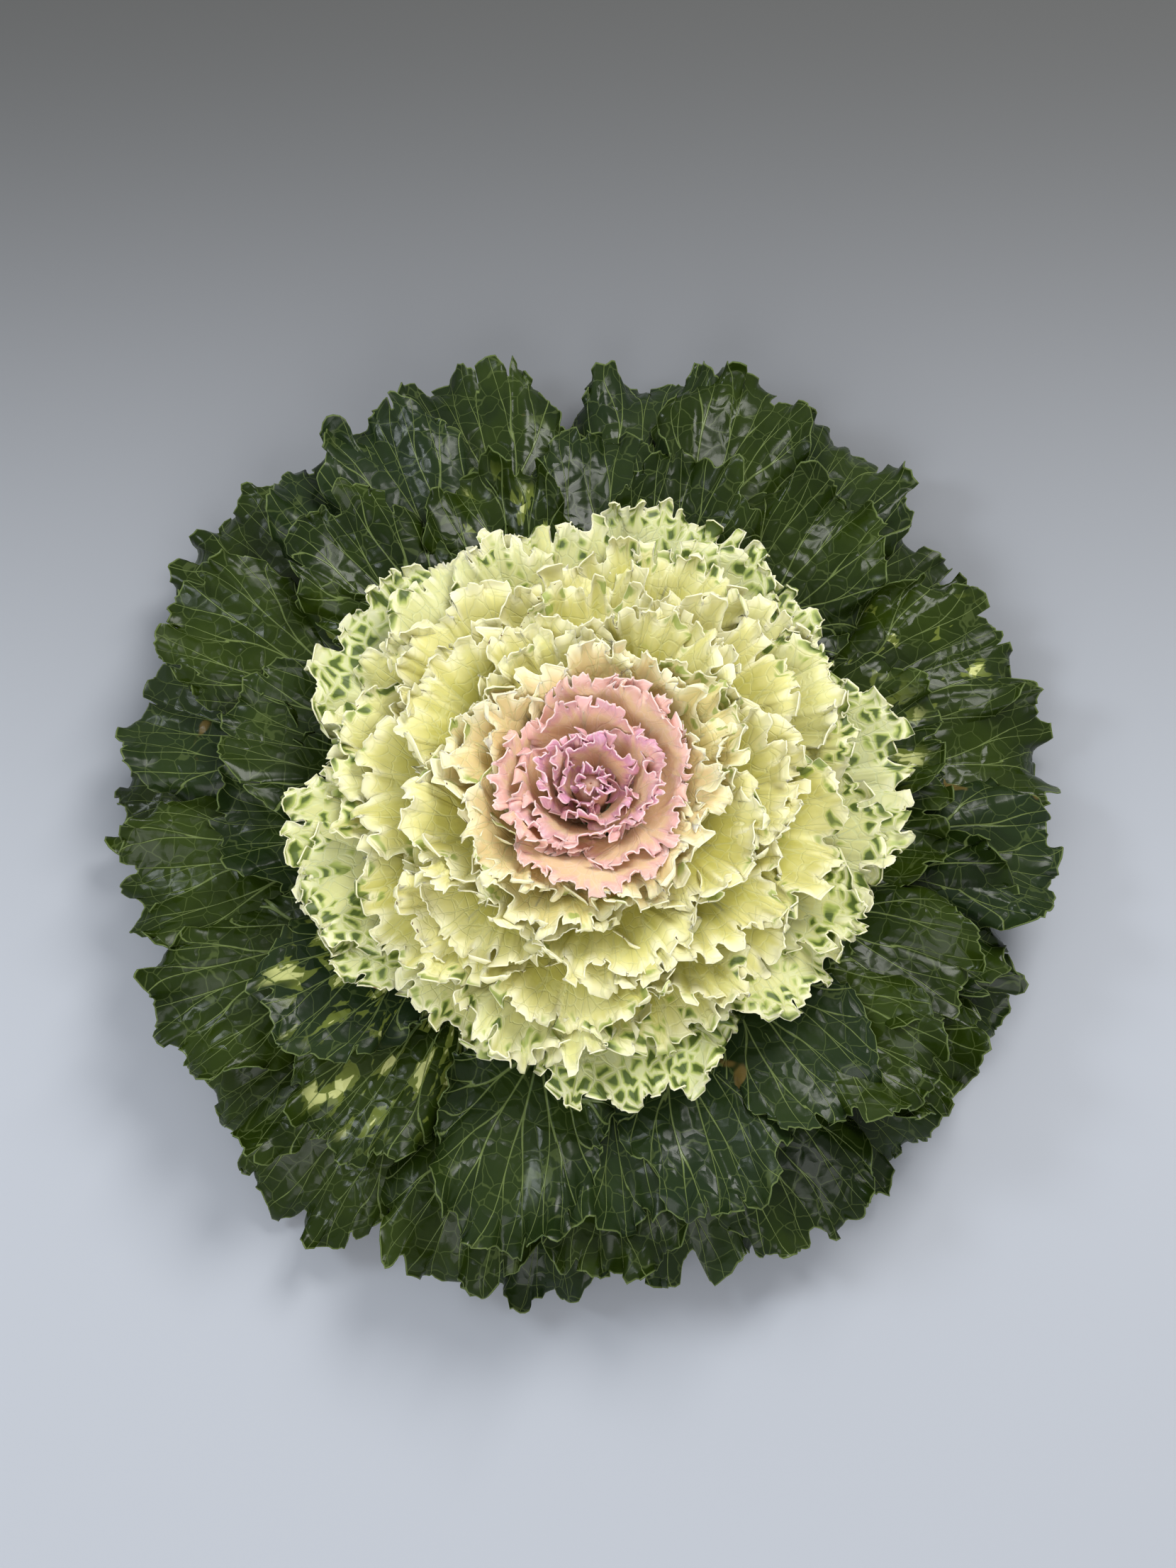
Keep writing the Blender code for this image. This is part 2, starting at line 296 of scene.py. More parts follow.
@dataclass(frozen=True)
class Margin:
    """How the margin of a leaf is cut into lobules, with bays between them and teeth on them.

    Attributes:
        lobe: swing of the slow changes in reach.
        lobule: distance from bay to bay.
        bay: depth of the deepest bays.
        bay_width: half the width of a middling bay.
        flip: the angle that a lobule may turn up or down by at its end, in radians.
        tooth: height of the pointed teeth.
        tooth_spacing: distance from tooth to tooth.
        LEAN: share of the way to the middle of its bay that a bay's edge leans.
        LEAN_WIDTH: how far that lean goes beyond the bay, as a multiple of its half width.
    """

    lobe: float
    lobule: float
    bay: float
    bay_width: float
    flip: float
    tooth: float
    tooth_spacing: float

    LEAN = 0.85
    LEAN_WIDTH = 1.7

    def cut(self, draw: Draw, along: Array) -> tuple[Array, Array, Array, Array]:
        """The cut margin at distances along the smooth one.

        Args:
            draw: the source of chance.
            along: distances along the margin.

        Returns:
            The gain in reach by teeth, the depth of the bay, the lean towards the middle of the nearest
            bay, which narrows its mouth, and the turn of each lobule.
        """
        phase = along / self.lobule + 0.35 * wander(draw, along, 3 * self.lobule)
        nearest, own = np.round(phase).astype(int), np.floor(phase).astype(int)
        first = int(own.min())
        chance = draw.uniform(0, 1, (3, int(nearest.max()) - first + 2))
        gap = (phase - nearest) * self.lobule
        width = self.bay_width * (0.6 + 0.8 * chance[0, nearest - first])
        near = np.exp(-((gap / width) ** 4))
        bay = self.bay * (0.2 + 0.8 * chance[1, nearest - first]) * near
        flip = self.flip * (2 * chance[2, own - first] - 1) * np.sin(math.pi * phase) ** 2
        lean = -self.LEAN * gap * np.exp(-((gap / (self.LEAN_WIDTH * width)) ** 2))
        phase = along / self.tooth_spacing + 0.5 * wander(draw, along, 4 * self.tooth_spacing)
        tooth = (1 - np.abs(2 * (phase % 1) - 1)) ** 1.4 - 0.8
        tooth = tooth * (0.8 + 0.4 * wander(draw, along, 2.3 * self.tooth_spacing)) * (1 - 0.6 * near)
        return self.tooth * tooth, bay, lean, flip


@dataclass(frozen=True)
class Stage:
    """How leaves of one colour change from the first, outermost one to the last, innermost one.

    Each pair holds the value of the first leaf and that of the last. Angles of the rib and of the fan
    are in degrees, and all other angles are in radians.

    Attributes:
        count: how many leaves follow the spiral.
        fans: how many broad waves the blade has from side to side.
        fan_limit: the angle from the middle line to the blade's side.
        reach: distance of the tip from the stem's axis.
        tip_height: height of the tip.
        root_radius: distance of the stalk's root from the axis.
        root_height: height of the root.
        root_angle: how steeply the rib leaves the stem.
        tip_angle: how steeply it ends.
        blade_length: length of the blade.
        breadth: what the blade is broadened by.
        wave: height of the broad waves at the margin.
        cup: how much the sides rise.
        stalk_width: width of the stalk at its root.
        stalk_thickness: thickness of the stalk there.
        frills: the orders of waves that grow towards the margin.
        frill_growth: how strong those waves are.
        curl: the angle that the margin turns up by.
        curl_depth: how far in from the margin the curl begins.
        curl_sway: how much the curl changes along the margin.
        margin: how the margin is cut.
        vein_spacing: the angle between the veins where they start.
        pucker: how far the blade rises between its veins.
        column_gap: distance between the mesh's columns along the margin.
        rows: how many rows the mesh has along each ray.
        rim: width and power of a level rim, or nothing for a fan.
    """

    count: int
    fans: int
    fan_limit: float
    reach: Pair
    tip_height: Pair
    root_radius: Pair
    root_height: Pair
    root_angle: Pair
    tip_angle: Pair
    blade_length: Pair
    breadth: Pair
    wave: Pair
    cup: Pair
    stalk_width: Pair
    stalk_thickness: Pair
    frills: tuple[Frill, ...]
    frill_growth: Pair
    curl: Pair
    curl_depth: float
    curl_sway: float
    margin: Margin
    vein_spacing: float
    pucker: float
    column_gap: float
    rows: int
    rim: Pair | None = None


GREEN = Stage(
    count=len(GREEN_LEAVES),
    fans=8,
    fan_limit=108,
    reach=(190 * MM, 150 * MM),
    tip_height=(9 * MM, 66 * MM),
    root_radius=(20 * MM, 20 * MM),
    root_height=(17 * MM, 38 * MM),
    root_angle=(12, 16),
    tip_angle=(-30, 6),
    blade_length=(92 * MM, 78 * MM),
    breadth=(0.62, 0.62),
    wave=(7 * MM, 6 * MM),
    cup=(-0.10, 0.06),
    stalk_width=(15 * MM, 13 * MM),
    stalk_thickness=(6 * MM, 5 * MM),
    frills=(Frill(34 * MM, 22 * MM, 0.42, 0.03), Frill(13 * MM, 8 * MM, 0.7, 0.09)),
    frill_growth=(1.0, 1.0),
    curl=(-0.15, 0.1),
    curl_depth=24 * MM,
    curl_sway=0.6,
    margin=Margin(2.4 * MM, 25 * MM, 8.5 * MM, 2.3 * MM, 0.6, 1.6 * MM, 4.0 * MM),
    vein_spacing=math.radians(27),
    pucker=0.3 * MM,
    column_gap=1.25 * MM,
    rows=15,
)
CREAM = Stage(
    count=36,
    fans=8,
    fan_limit=108,
    reach=(129 * MM, 50 * MM),
    tip_height=(73 * MM, 121 * MM),
    root_radius=(22 * MM, 20 * MM),
    root_height=(55 * MM, 68 * MM),
    root_angle=(14, 66),
    tip_angle=(-3, 24),
    blade_length=(68 * MM, 42 * MM),
    breadth=(0.92, 1.02),
    wave=(5.5 * MM, 4.5 * MM),
    cup=(0.05, 0.16),
    stalk_width=(14 * MM, 9 * MM),
    stalk_thickness=(5 * MM, 3.5 * MM),
    frills=(
        Frill(30 * MM, 16 * MM, 0.5, 0.04),
        Frill(11 * MM, 7.5 * MM, 1.25, 0.11),
        Frill(5.6 * MM, 4.4 * MM, 1.15, 0.10),
    ),
    frill_growth=(1.0, 0.9),
    curl=(0.0, 0.35),
    curl_depth=16 * MM,
    curl_sway=0.45,
    margin=Margin(2.2 * MM, 10 * MM, 7.2 * MM, 2.6 * MM, 1.8, 1.7 * MM, 2.4 * MM),
    vein_spacing=math.radians(27),
    pucker=0.25 * MM,
    column_gap=0.55 * MM,
    rows=15,
    rim=(0.85, 2.8),
)
PINK = Stage(
    count=13,
    fans=6,
    fan_limit=90,
    reach=(43.5 * MM, 3.5 * MM),
    tip_height=(121.5 * MM, 114 * MM),
    root_radius=(17 * MM, 1.5 * MM),
    root_height=(90 * MM, 81 * MM),
    root_angle=(50, 88),
    tip_angle=(64, 96),
    blade_length=(31 * MM, 22 * MM),
    breadth=(1.15, 0.75),
    wave=(2.4 * MM, 1.2 * MM),
    cup=(0.0, 0.05),
    stalk_width=(8 * MM, 4 * MM),
    stalk_thickness=(3 * MM, 2 * MM),
    frills=(
        Frill(19 * MM, 9 * MM, 0.5, 0.05),
        Frill(10 * MM, 6 * MM, 1.15, 0.11),
        Frill(4.4 * MM, 3.6 * MM, 1.05, 0.10),
    ),
    frill_growth=(1.0, 0.85),
    curl=(-0.8, -0.5),
    curl_depth=8 * MM,
    curl_sway=0.35,
    margin=Margin(1.6 * MM, 8 * MM, 4.8 * MM, 1.8 * MM, 1.1, 1.4 * MM, 2.2 * MM),
    vein_spacing=math.radians(28),
    pucker=0.15 * MM,
    column_gap=0.44 * MM,
    rows=17,
    rim=(1.1, 3.5),
)


class Leaf:
    """One leaf: a waved and frilled fan on a stalk, laid along its rib.

    Attributes:
        BLADE_THICKNESS: thickness of the blade.
        FIRST_SHARE: share of the ray at which the blade's mesh begins.
        ROLL: the most that a leaf rolls to one side.
        TIP_SWING: the most that its tip is higher or lower than its stage says.
        HANDLE: how far the rib's curve keeps to its end directions, as a share of its span.
        ROW_POWER: how much closer the rows are at the margin.
        SHORTEST: the shortest ray, as a share of the blade's length.
        REGAINED: share of the reach lost to the waves that is given back.
        NOTCH: depth of the notches between the broad waves, as a share of the ray.
        LOBE_WAVE: typical distance between two lobes of the margin.
        SWAY_WAVE: typical distance over which the curl changes.
        WAVE_POWER: how late along the ray the broad waves rise.
        MIDDLE_WAVE: the broad wave's height at the middle line, as a share of that at the sides.
        PUCKER_WIDTH: distance from a vein at which the blade has risen in full.
        RIB_HEIGHT: how far the veins stand out below at the foot of the blade.
        RIB_WIDTH: half the width of such a vein.
        MIDRIB_END: how far the midrib goes along the blade, as a share of its length.
        STALK_RINGS: how many rings the stalk's mesh has.
        STALK_SIDES: how many points a ring has.
        LOWEST: the least height above the surface that the head rests on.
    """

    BLADE_THICKNESS = 0.5 * MM
    FIRST_SHARE = 0.03
    ROLL = 0.08
    TIP_SWING = 2 * MM
    HANDLE = 0.38
    ROW_POWER = 2.1
    SHORTEST = 0.3
    REGAINED = 0.85
    NOTCH = 0.04
    LOBE_WAVE = 17 * MM
    SWAY_WAVE = 40 * MM
    WAVE_POWER = 2.6
    MIDDLE_WAVE = 0.55
    PUCKER_WIDTH = 5 * MM
    RIB_HEIGHT = 0.9 * MM
    RIB_WIDTH = 1.2 * MM
    MIDRIB_END = 0.72
    STALK_RINGS = 26
    STALK_SIDES = 12
    LOWEST = 0.8 * MM

    def __init__(self, stage: Stage, share: float, azimuth: float, reach: float, draw: Draw) -> None:
        """Settle the leaf's rib and sizes.

        Args:
            stage: the leaves that this one belongs to.
            share: how far it is from the first of them to the last.
            azimuth: its direction round the stem.
            reach: how far its tip is from the stem's axis.
            draw: the source of its chance roll and tip height.
        """
        self.stage = stage
        self.share = share
        self.azimuth = azimuth
        self.limit = math.radians(stage.fan_limit)
        self.roll = draw.uniform(-self.ROLL, self.ROLL)
        self.blade = blend(stage.blade_length, share) * (1 + 0.8 * self.roll)
        self.breadth = blend(stage.breadth, share)
        root = np.array([blend(stage.root_radius, share), blend(stage.root_height, share)])
        swing = draw.uniform(-self.TIP_SWING, self.TIP_SWING)
        tip = np.array([reach, blend(stage.tip_height, share) + swing])
        handle = self.HANDLE * np.linalg.norm(tip - root)
        rise = math.radians(blend(stage.root_angle, share))
        fall = math.radians(blend(stage.tip_angle, share))
        leave = root + handle * np.array([math.cos(rise), math.sin(rise)])
        arrive = tip - handle * np.array([math.cos(fall), math.sin(fall)])
        self.rib = (root, leave, arrive, tip)
        steps = np.diff(self.on_rib(np.linspace(0, 1, 40))[0], axis=0)
        self.length = float(np.linalg.norm(steps, axis=1).sum())
        self.stalk_end = 1 - self.blade / self.length

    def on_rib(self, along: Array) -> tuple[Array, Array]:
        """The rib's cubic curve.

        Args:
            along: shares of the way from the root to the tip.

        Returns:
            The curve's points as radius and height, and its upward normals there.
        """
        t = np.asarray(along, float)[..., None]
        a, b, c, d = self.rib
        point = (1 - t) ** 3 * a + 3 * (1 - t) ** 2 * t * b + 3 * (1 - t) * t**2 * c + t**3 * d
        slope = 3 * (1 - t) ** 2 * (b - a) + 6 * (1 - t) * t * (c - b) + 3 * t**2 * (d - c)
        slope /= np.linalg.norm(slope, axis=-1, keepdims=True)
        return point, np.stack([-slope[..., 1], slope[..., 0]], axis=-1)

    def place(self, x: Array, y: Array, lift: Array) -> Array:
        """Space points of flat leaf points lifted off the leaf.

        The point goes along the rib by y, off it along its normal by the lift, the roll and the cup,
        and round the stem's axis by x over the radius.

        Args:
            x: distances from the middle line.
            y: distances along it from the top of the stalk.
            lift: heights above the flat leaf.

        Returns:
            One point of space for each.
        """
        point, up = self.on_rib(np.clip(self.stalk_end + y / self.length, -0.1, 1.06))
        bend = self.roll * x + blend(self.stage.cup, self.share) * x * x / (0.6 * self.blade)
        point = point + up * (lift + bend)[..., None]
        turn = self.azimuth + x / np.hypot(point[..., 0], 10 * MM)
        return np.stack([point[..., 0] * np.cos(turn), point[..., 0] * np.sin(turn), point[..., 1]], axis=-1)

    def outline(self, turn: Array) -> Array:
        """The blade's radius at an angle from its middle line.

        A fan is long ahead and short at the lobes behind: its radius is 0.36 + 0.68 / (1 + (t / 1.2)^4) of
        the blade's length at the turn t. Leaves with a level rim follow the curve |cos|^p + |sin / w|^p = 1
        instead, with the rim's width w and power p.

        Args:
            turn: angles from the middle line.

        Returns:
            One radius for each.
        """
        if self.stage.rim:
            width, power = self.stage.rim
            side = np.abs(np.sin(turn) / width) ** power
            return self.blade / (np.abs(np.cos(turn)) ** power + side) ** (1 / power)
        return self.blade * (0.36 + 0.68 / (1 + (turn / 1.2) ** 4))

    def swayed(self, turn: Array, share: Array) -> Array:
        """Turns with a smooth sway, two crossed sine waves, so that the veins wander.

        Args:
            turn: angles from the middle line.
            share: shares of the way along the ray.

        Returns:
            The swayed angles.
        """
        sway = 0.045 * np.sin(5.1 * turn + 5.0 * share + 40 * self.roll)
        sway = sway + 0.015 * np.sin(9.3 * turn - 9.0 * share)
        return turn + sway * smooth_step(0.05, 0.5, share)

    def veins(self, turn: Array, share: Array, radius: Array) -> Array:
        """Distance from the nearest vein, where each vein forks in two twice on its way out.

        The distance from the nearest whole turn step is folded at a growing offset, once for each fork.

        Args:
            turn: angles from the middle line.
            share: shares of the way along the ray.
            radius: distances from the top of the stalk.

        Returns:
            One distance for each point.
        """
        step = turn / self.stage.vein_spacing
        gap = np.abs(step - np.round(step))
        gap = np.abs(gap - 0.25 * smooth_step(0.3, 0.75, share))
        gap = np.abs(gap - 0.125 * smooth_step(0.62, 1.0, share))
        return gap * self.stage.vein_spacing * radius

    def columns(self) -> tuple[Array, Array]:
        """Where the blade's columns lie.

        Returns:
            Their directions, closer together in front than behind, and their places along the margin.
        """
        fine = np.linspace(-self.limit, self.limit, 500)
        smooth = self.outline(fine)
        steps = np.hypot(np.diff(smooth * np.sin(fine) * self.breadth), np.diff(smooth * np.cos(fine)))
        arc = np.concatenate([[0], np.cumsum(steps)])
        dense = np.concatenate([[0], np.cumsum(steps / (1 + smooth_step(1.1, 1.5, np.abs(fine[1:]))))])
        even = np.linspace(0, dense[-1], int(dense[-1] / self.stage.column_gap))
        return np.interp(even, dense, fine), np.interp(even, dense, arc)

    def blade_surface(self, draw: Draw, floor: Array | None, roof: Array | None) -> Surface:
        """The blade as a closed sheet.

        Along each ray the surface climbs at an angle, the sum of the curl, of the lobule's own turn and of
        the frills' waves. Each grows from nothing at its depth to its swing at the uncut margin, so that
        neighbouring rays climb alike where a bay cuts one of them short. Steps of cosine and sine of that
        angle add up to the flat distance and the lift. Most of the reach that the waves cost is regained
        by a stretch that grows with the cube of the share along the ray. The broad waves lift the blade as
        a cosine across it, and it rises a little between its veins, which stand out below as ribs.

        Args:
            draw: the source of chance for lobes, bays, teeth and waves.
            floor: bowl that the blade stays above, if any.
            roof: bowl that the blade stays below, if any.

        Returns:
            The closed surface.
        """
        stage = self.stage
        turn, along = self.columns()
        growth = blend(stage.frill_growth, self.share)
        waves = [frill.waves(draw, along, growth) for frill in stage.frills]
        gain, bay, lean_in, flip = stage.margin.cut(draw, along)
        notch = 0.5 * self.NOTCH * (1 + np.cos(math.pi * stage.fans * turn / (2 * self.limit)))
        reach = self.outline(turn) * (1 - notch) + stage.margin.lobe * wander(draw, along, self.LOBE_WAVE)
        ray = np.maximum(reach + gain - bay, self.SHORTEST * self.blade)
        first = self.FIRST_SHARE
        share = first + (1 - first) * (1 - (1 - np.linspace(0, 1, stage.rows)) ** self.ROW_POWER)
        radius = share[None, :] * ray[:, None]
        inward = ray[:, None] - radius
        within = reach[:, None] - radius
        curl = blend(stage.curl, self.share) + stage.curl_sway * wander(draw, along, self.SWAY_WAVE)
        climb = curl[:, None] * smooth_step(-stage.curl_depth, 0, -within)
        climb = climb + flip[:, None] * smooth_step(-0.6 * stage.margin.lobule, 0, -within)
        shift = lean_in[:, None] * smooth_step(-stage.margin.bay, 0, -within)
        for frill, (height, lean) in zip(stage.frills, waves):
            grow = smooth_step(-frill.depth, 0, -within)
            climb = climb + frill.swing * height[:, None] * grow
            shift = shift + lean[:, None] * grow
        middle_climb = 0.5 * (climb[:, 1:] + climb[:, :-1])
        steps = np.diff(share)[None, :] * ray[:, None]
        start = first * ray[:, None]
        distance = np.concatenate([start, start + np.cumsum(np.cos(middle_climb) * steps, axis=1)], axis=1)
        lift = np.concatenate([0 * start, np.cumsum(np.sin(middle_climb) * steps, axis=1)], axis=1)
        regained = self.REGAINED * (ray / distance[:, -1] - 1)
        distance = distance * (1 + regained[:, None] * share[None, :] ** 3)
        wave = blend(stage.wave, self.share) * np.clip(self.MIDDLE_WAVE + np.abs(turn), 0, 1)
        wave = wave * -np.cos(math.pi * stage.fans * turn / (2 * self.limit))
        lift = lift + wave[:, None] * share[None, :] ** self.WAVE_POWER
        swayed = self.swayed(turn[:, None], share[None, :])
        vein = self.veins(swayed, share[None, :], radius)
        pucker = stage.pucker * smooth_step(0, self.PUCKER_WIDTH, vein)
        lift = lift + pucker * smooth_step(0.1, 0.5, share)[None, :]
        sine, cosine = np.sin(turn)[:, None], np.cos(turn)[:, None]
        x = distance * sine * self.breadth + shift * cosine
        y = distance * cosine - shift * sine
        middle = kept_between(self.place(x, y, lift), floor, roof, self.LOWEST)
        rib = self.RIB_HEIGHT * (1 - share[None, :]) * np.exp(-((vein / self.RIB_WIDTH) ** 2))
        half = np.full_like(radius, 0.5 * self.BLADE_THICKNESS)
        flat = np.stack([radius * sine * self.breadth, radius * cosine], axis=-1)
        fan = np.stack([swayed, np.broadcast_to(share, radius.shape), inward], axis=-1)
        return slab(middle, half, half + rib, flat, fan)

    def stalk_surface(self, floor: Array | None, roof: Array | None) -> Surface:
        """The stalk and midrib: ellipses along the rib that taper towards the blade's tip.

        Args:
            floor: bowl that the stalk stays above, if any.
            roof: bowl that it stays below, if any.

        Returns:
            The closed surface.
        """
        stage = self.stage
        stalk = self.stalk_end * self.length
        end = self.MIDRIB_END * self.blade
        y = np.linspace(-1.06 * stalk, end, self.STALK_RINGS)
        taper = np.interp(y, [-stalk, -0.2 * stalk, 0, end], [1.0, 0.62, 0.42, 0.07])
        width = 0.5 * blend(stage.stalk_width, self.share) * taper
        height = 0.5 * blend(stage.stalk_thickness, self.share) * np.clip(taper * 1.25, 0, 1)
        around = np.arange(self.STALK_SIDES) * TAU / self.STALK_SIDES
        x = width[:, None] * np.cos(around)
        sink = np.where(y > 0, -0.75, -0.2)[:, None] * height[:, None]
        lift = height[:, None] * np.sin(around) + sink
        wave = blend(stage.wave, self.share) * self.MIDDLE_WAVE
        lift = lift - (wave * np.clip(y / self.blade, 0, 1) ** self.WAVE_POWER)[:, None]
        y = np.broadcast_to(y[:, None], x.shape)
        rings = kept_between(self.place(x, y, lift), floor, roof, self.LOWEST)
        flat = np.stack([x, y, np.full_like(x, Side.LOWER.value)], axis=-1)
        fan = np.stack([np.zeros_like(x), np.zeros_like(x), np.full_like(x, BASE_INWARD)], axis=-1)
        return tube(rings, flat, fan)


def kept_between(points: Array, floor: Array | None, roof: Array | None, lowest: float) -> Array:
    """Bend points softly clear of the bowls that part the colours and of the surface below.

    A height under its floor comes out as floor + w ln(1 + e^((height - floor) / w)), and a height over
    its roof likewise from above.

    Args:
        points: points of space.
        floor: the bowl below as radius and height, if any.
        roof: the bowl above, if any.
        lowest: the least height where there is no bowl below.

    Returns:
        The points with their heights bent.
    """
    radius = np.hypot(points[..., 0], points[..., 1])
    width = 1.2 * MM if floor is None else 2.0 * MM
    low = np.full(radius.shape, lowest) if floor is None else np.interp(radius, floor[:, 0], floor[:, 1])
    bent = points.copy()
    bent[..., 2] = low + width * np.logaddexp(0, (points[..., 2] - low) / width)
    if roof is not None:
        high = np.interp(radius, roof[:, 0], roof[:, 1])
        bent[..., 2] = high - width * np.logaddexp(0, (high - bent[..., 2]) / width)
    return bent


class Shader:
    """Short calls that lay out one material's nodes."""

    def __init__(self, name: str) -> None:
        """Start a material that holds a single surface shader.

        Args:
            name: the material's name.
        """
        self.material = bpy.data.materials.new(name)
        self.material.use_nodes = True
        self.tree = self.material.node_tree
        self.surface = self.tree.nodes["Principled BSDF"]

    def feed(self, socket: Socket, value: Value) -> None:
        """Link a socket, or set it to a constant.

        Args:
            socket: the socket to feed.
            value: another node's socket, or the constant.
        """
        if isinstance(value, bpy.types.NodeSocket):
            self.tree.links.new(value, socket)
        elif isinstance(value, tuple) and len(value) == 3 and socket.type == "RGBA":
            socket.default_value = (*value, 1.0)
        else:
            socket.default_value = value

    def feed_all(self, node: bpy.types.Node, values: dict[str, Value]) -> None:
        """Feed several sockets of a node.

        Args:
            node: the node.
            values: what its sockets get, by their names with underscores for spaces.
        """
        for name, value in values.items():
            self.feed(node.inputs[name.replace("_", " ")], value)

    def set(self, **values: Value) -> None:
        """Feed the surface shader's sockets, named with underscores for spaces."""
        self.feed_all(self.surface, values)

    def node(self, kind: str, **values: Value) -> bpy.types.Node:
        """Add a node.

        Args:
            kind: its type in Blender, without the leading ShaderNode.
            values: what its sockets get, named with underscores for spaces.

        Returns:
            The new node.
        """
        node = self.tree.nodes.new("ShaderNode" + kind)
        self.feed_all(node, values)
        return node

    def math(self, operation: str, first: Value, second: Value = 0.0) -> Socket:
        """One arithmetic step.

        Args:
            operation: the step's name in Blender.
            first: its first number.
            second: its second number, where it has one.

        Returns:
            The result.
        """
        node = self.node("Math")
        node.operation = operation
        self.feed(node.inputs[0], first)
        self.feed(node.inputs[1], second)
        return node.outputs[0]

    def times(self, first: Value, second: Value) -> Socket:
        """The product of two numbers."""
        return self.math("MULTIPLY", first, second)

    def plus(self, first: Value, second: Value) -> Socket:
        """The sum of two numbers."""
        return self.math("ADD", first, second)

    def minus(self, first: Value, second: Value) -> Socket:
        """The difference of two numbers."""
        return self.math("SUBTRACT", first, second)

    def rise(self, value: Socket, low: Value, high: Value, top: float = 1.0) -> Socket:
        """A smooth step.

        Args:
            value: the number that drives it.
            low: where the step is zero. It may be the larger one of the two.
            high: where it has risen in full.
            top: what it rises to.

        Returns:
            The height of the step.
        """
        node = self.node("MapRange", Value=value, From_Min=low, From_Max=high, To_Min=0.0, To_Max=top)
        node.interpolation_type = "SMOOTHSTEP"
        return node.outputs["Result"]

    def mix(self, share: Value, first: Value, second: Value) -> Socket:
        """A blend of two colours.

        Args:
            share: how far it is on the way from the first to the second.
            first: the colour at zero.
            second: the colour at one.

        Returns:
            The blended colour.
        """
        node = self.node("Mix")
        node.data_type = "RGBA"
        for index, value in ((0, share), (6, first), (7, second)):
            self.feed(node.inputs[index], value)
        return node.outputs[2]

    def split(self, vector: Socket) -> tuple[Socket, Socket, Socket]:
        """The three numbers of a vector."""
        return tuple(self.node("SeparateXYZ", Vector=vector).outputs)

    def joined(self, x: Value, y: Value, z: Value) -> Socket:
        """A vector of three numbers."""
        return self.node("CombineXYZ", X=x, Y=y, Z=z).outputs[0]

    def attribute(self, name: str) -> tuple[Socket, Socket, Socket]:
        """The three numbers of a vector attribute of the mesh.

        Args:
            name: the attribute's name.

        Returns:
            The numbers.
        """
        node = self.node("Attribute")
        node.attribute_name = name
        return self.split(node.outputs["Vector"])

    def noise(self, vector: Socket, scale: float, detail: float) -> Socket:
        """Cloudy noise between about 0.3 and 0.7: clouds to the metre, and how many finer orders."""
        return self.node("TexNoise", Vector=vector, Scale=scale, Detail=detail).outputs["Fac"]

    def cells(self, vector: Socket, scale: float) -> tuple[Socket, Socket]:
        """A net of cells.

        Args:
            vector: where the net is read.
            scale: cells to the metre.

        Returns:
            The distance from the nearest wall, in cells, and a chance number for each cell.
        """
        wall, chance = (self.node("TexVoronoi", Vector=vector, Scale=scale) for _ in range(2))
        wall.feature = "DISTANCE_TO_EDGE"
        return wall.outputs["Distance"], self.split(chance.outputs["Color"])[0]

    def swayed(self, vector: Socket, scale: float, amount: float) -> Socket:
        """A vector pushed about by coloured noise, so that straight patterns wander.

        Args:
            vector: the vector before.
            scale: pushes to the metre.
            amount: how far a push goes, in metres.

        Returns:
            The vector plus the amount times the noise less one half.
        """
        cloud = self.node("TexNoise", Vector=vector, Scale=scale).outputs["Color"]
        centred = self.node("VectorMath", Vector=cloud)
        centred.operation = "SUBTRACT"
        centred.inputs[1].default_value = (0.5, 0.5, 0.5)
        push = self.node("VectorMath")
        push.operation = "SCALE"
        self.feed_all(push, {"Vector": centred.outputs[0], "Scale": amount})
        total = self.node("VectorMath", Vector=vector)
        self.feed(total.inputs[1], push.outputs[0])
        return total.outputs[0]

    def bump(self, height: Socket, distance: float) -> None:
        """Raise the surface in its shading.

        Args:
            height: the height, from zero to about one.
            distance: what a height of one is in metres.
        """
        node = self.node("Bump", Height=height, Distance=distance, Strength=1.0)
        self.set(Normal=node.outputs["Normal"])


class LeafShader(Shader):
    """The nodes of a leaf's material, with what they read of the mesh at a point.

    Attributes:
        stage: how far the leaf is from the outermost of its colour to the innermost.
        chance: the leaf's chance number.
        marbling: how marbled the leaf is.
        side: the mark of the leaf's face.
        turn: the direction from the leaf's middle line.
        share: the share of the way along the ray.
        inward: the distance from the margin.
        flat: the place on the flat leaf, at a height of the leaf's own, so that no two share a pattern.
        radius: the distance from the top of the stalk on the flat leaf.
    """

    def __init__(self, name: str) -> None:
        """Start the material and read the mesh.

        Args:
            name: the material's name.
        """
        super().__init__(name)
        self.stage, self.chance, self.marbling = self.attribute("leaf")
        self.turn, self.share, self.inward = self.attribute("fan")
        x, y, self.side = self.attribute("flat")
        self.flat = self.joined(x, y, self.chance)
        length = self.node("VectorMath", Vector=self.joined(x, y, 0.0))
        length.operation = "LENGTH"
        self.radius = length.outputs["Value"]

    def clouds(self, scale: float, detail: float) -> Socket:
        """Cloudy noise on the flat leaf."""
        return self.noise(self.flat, scale, detail)

    def rim(self, far: float, near: float, top: float = 1.0) -> Socket:
        """Zero far from the margin and top near it, both as distances in from it."""
        return self.rise(self.inward, far, near, top)


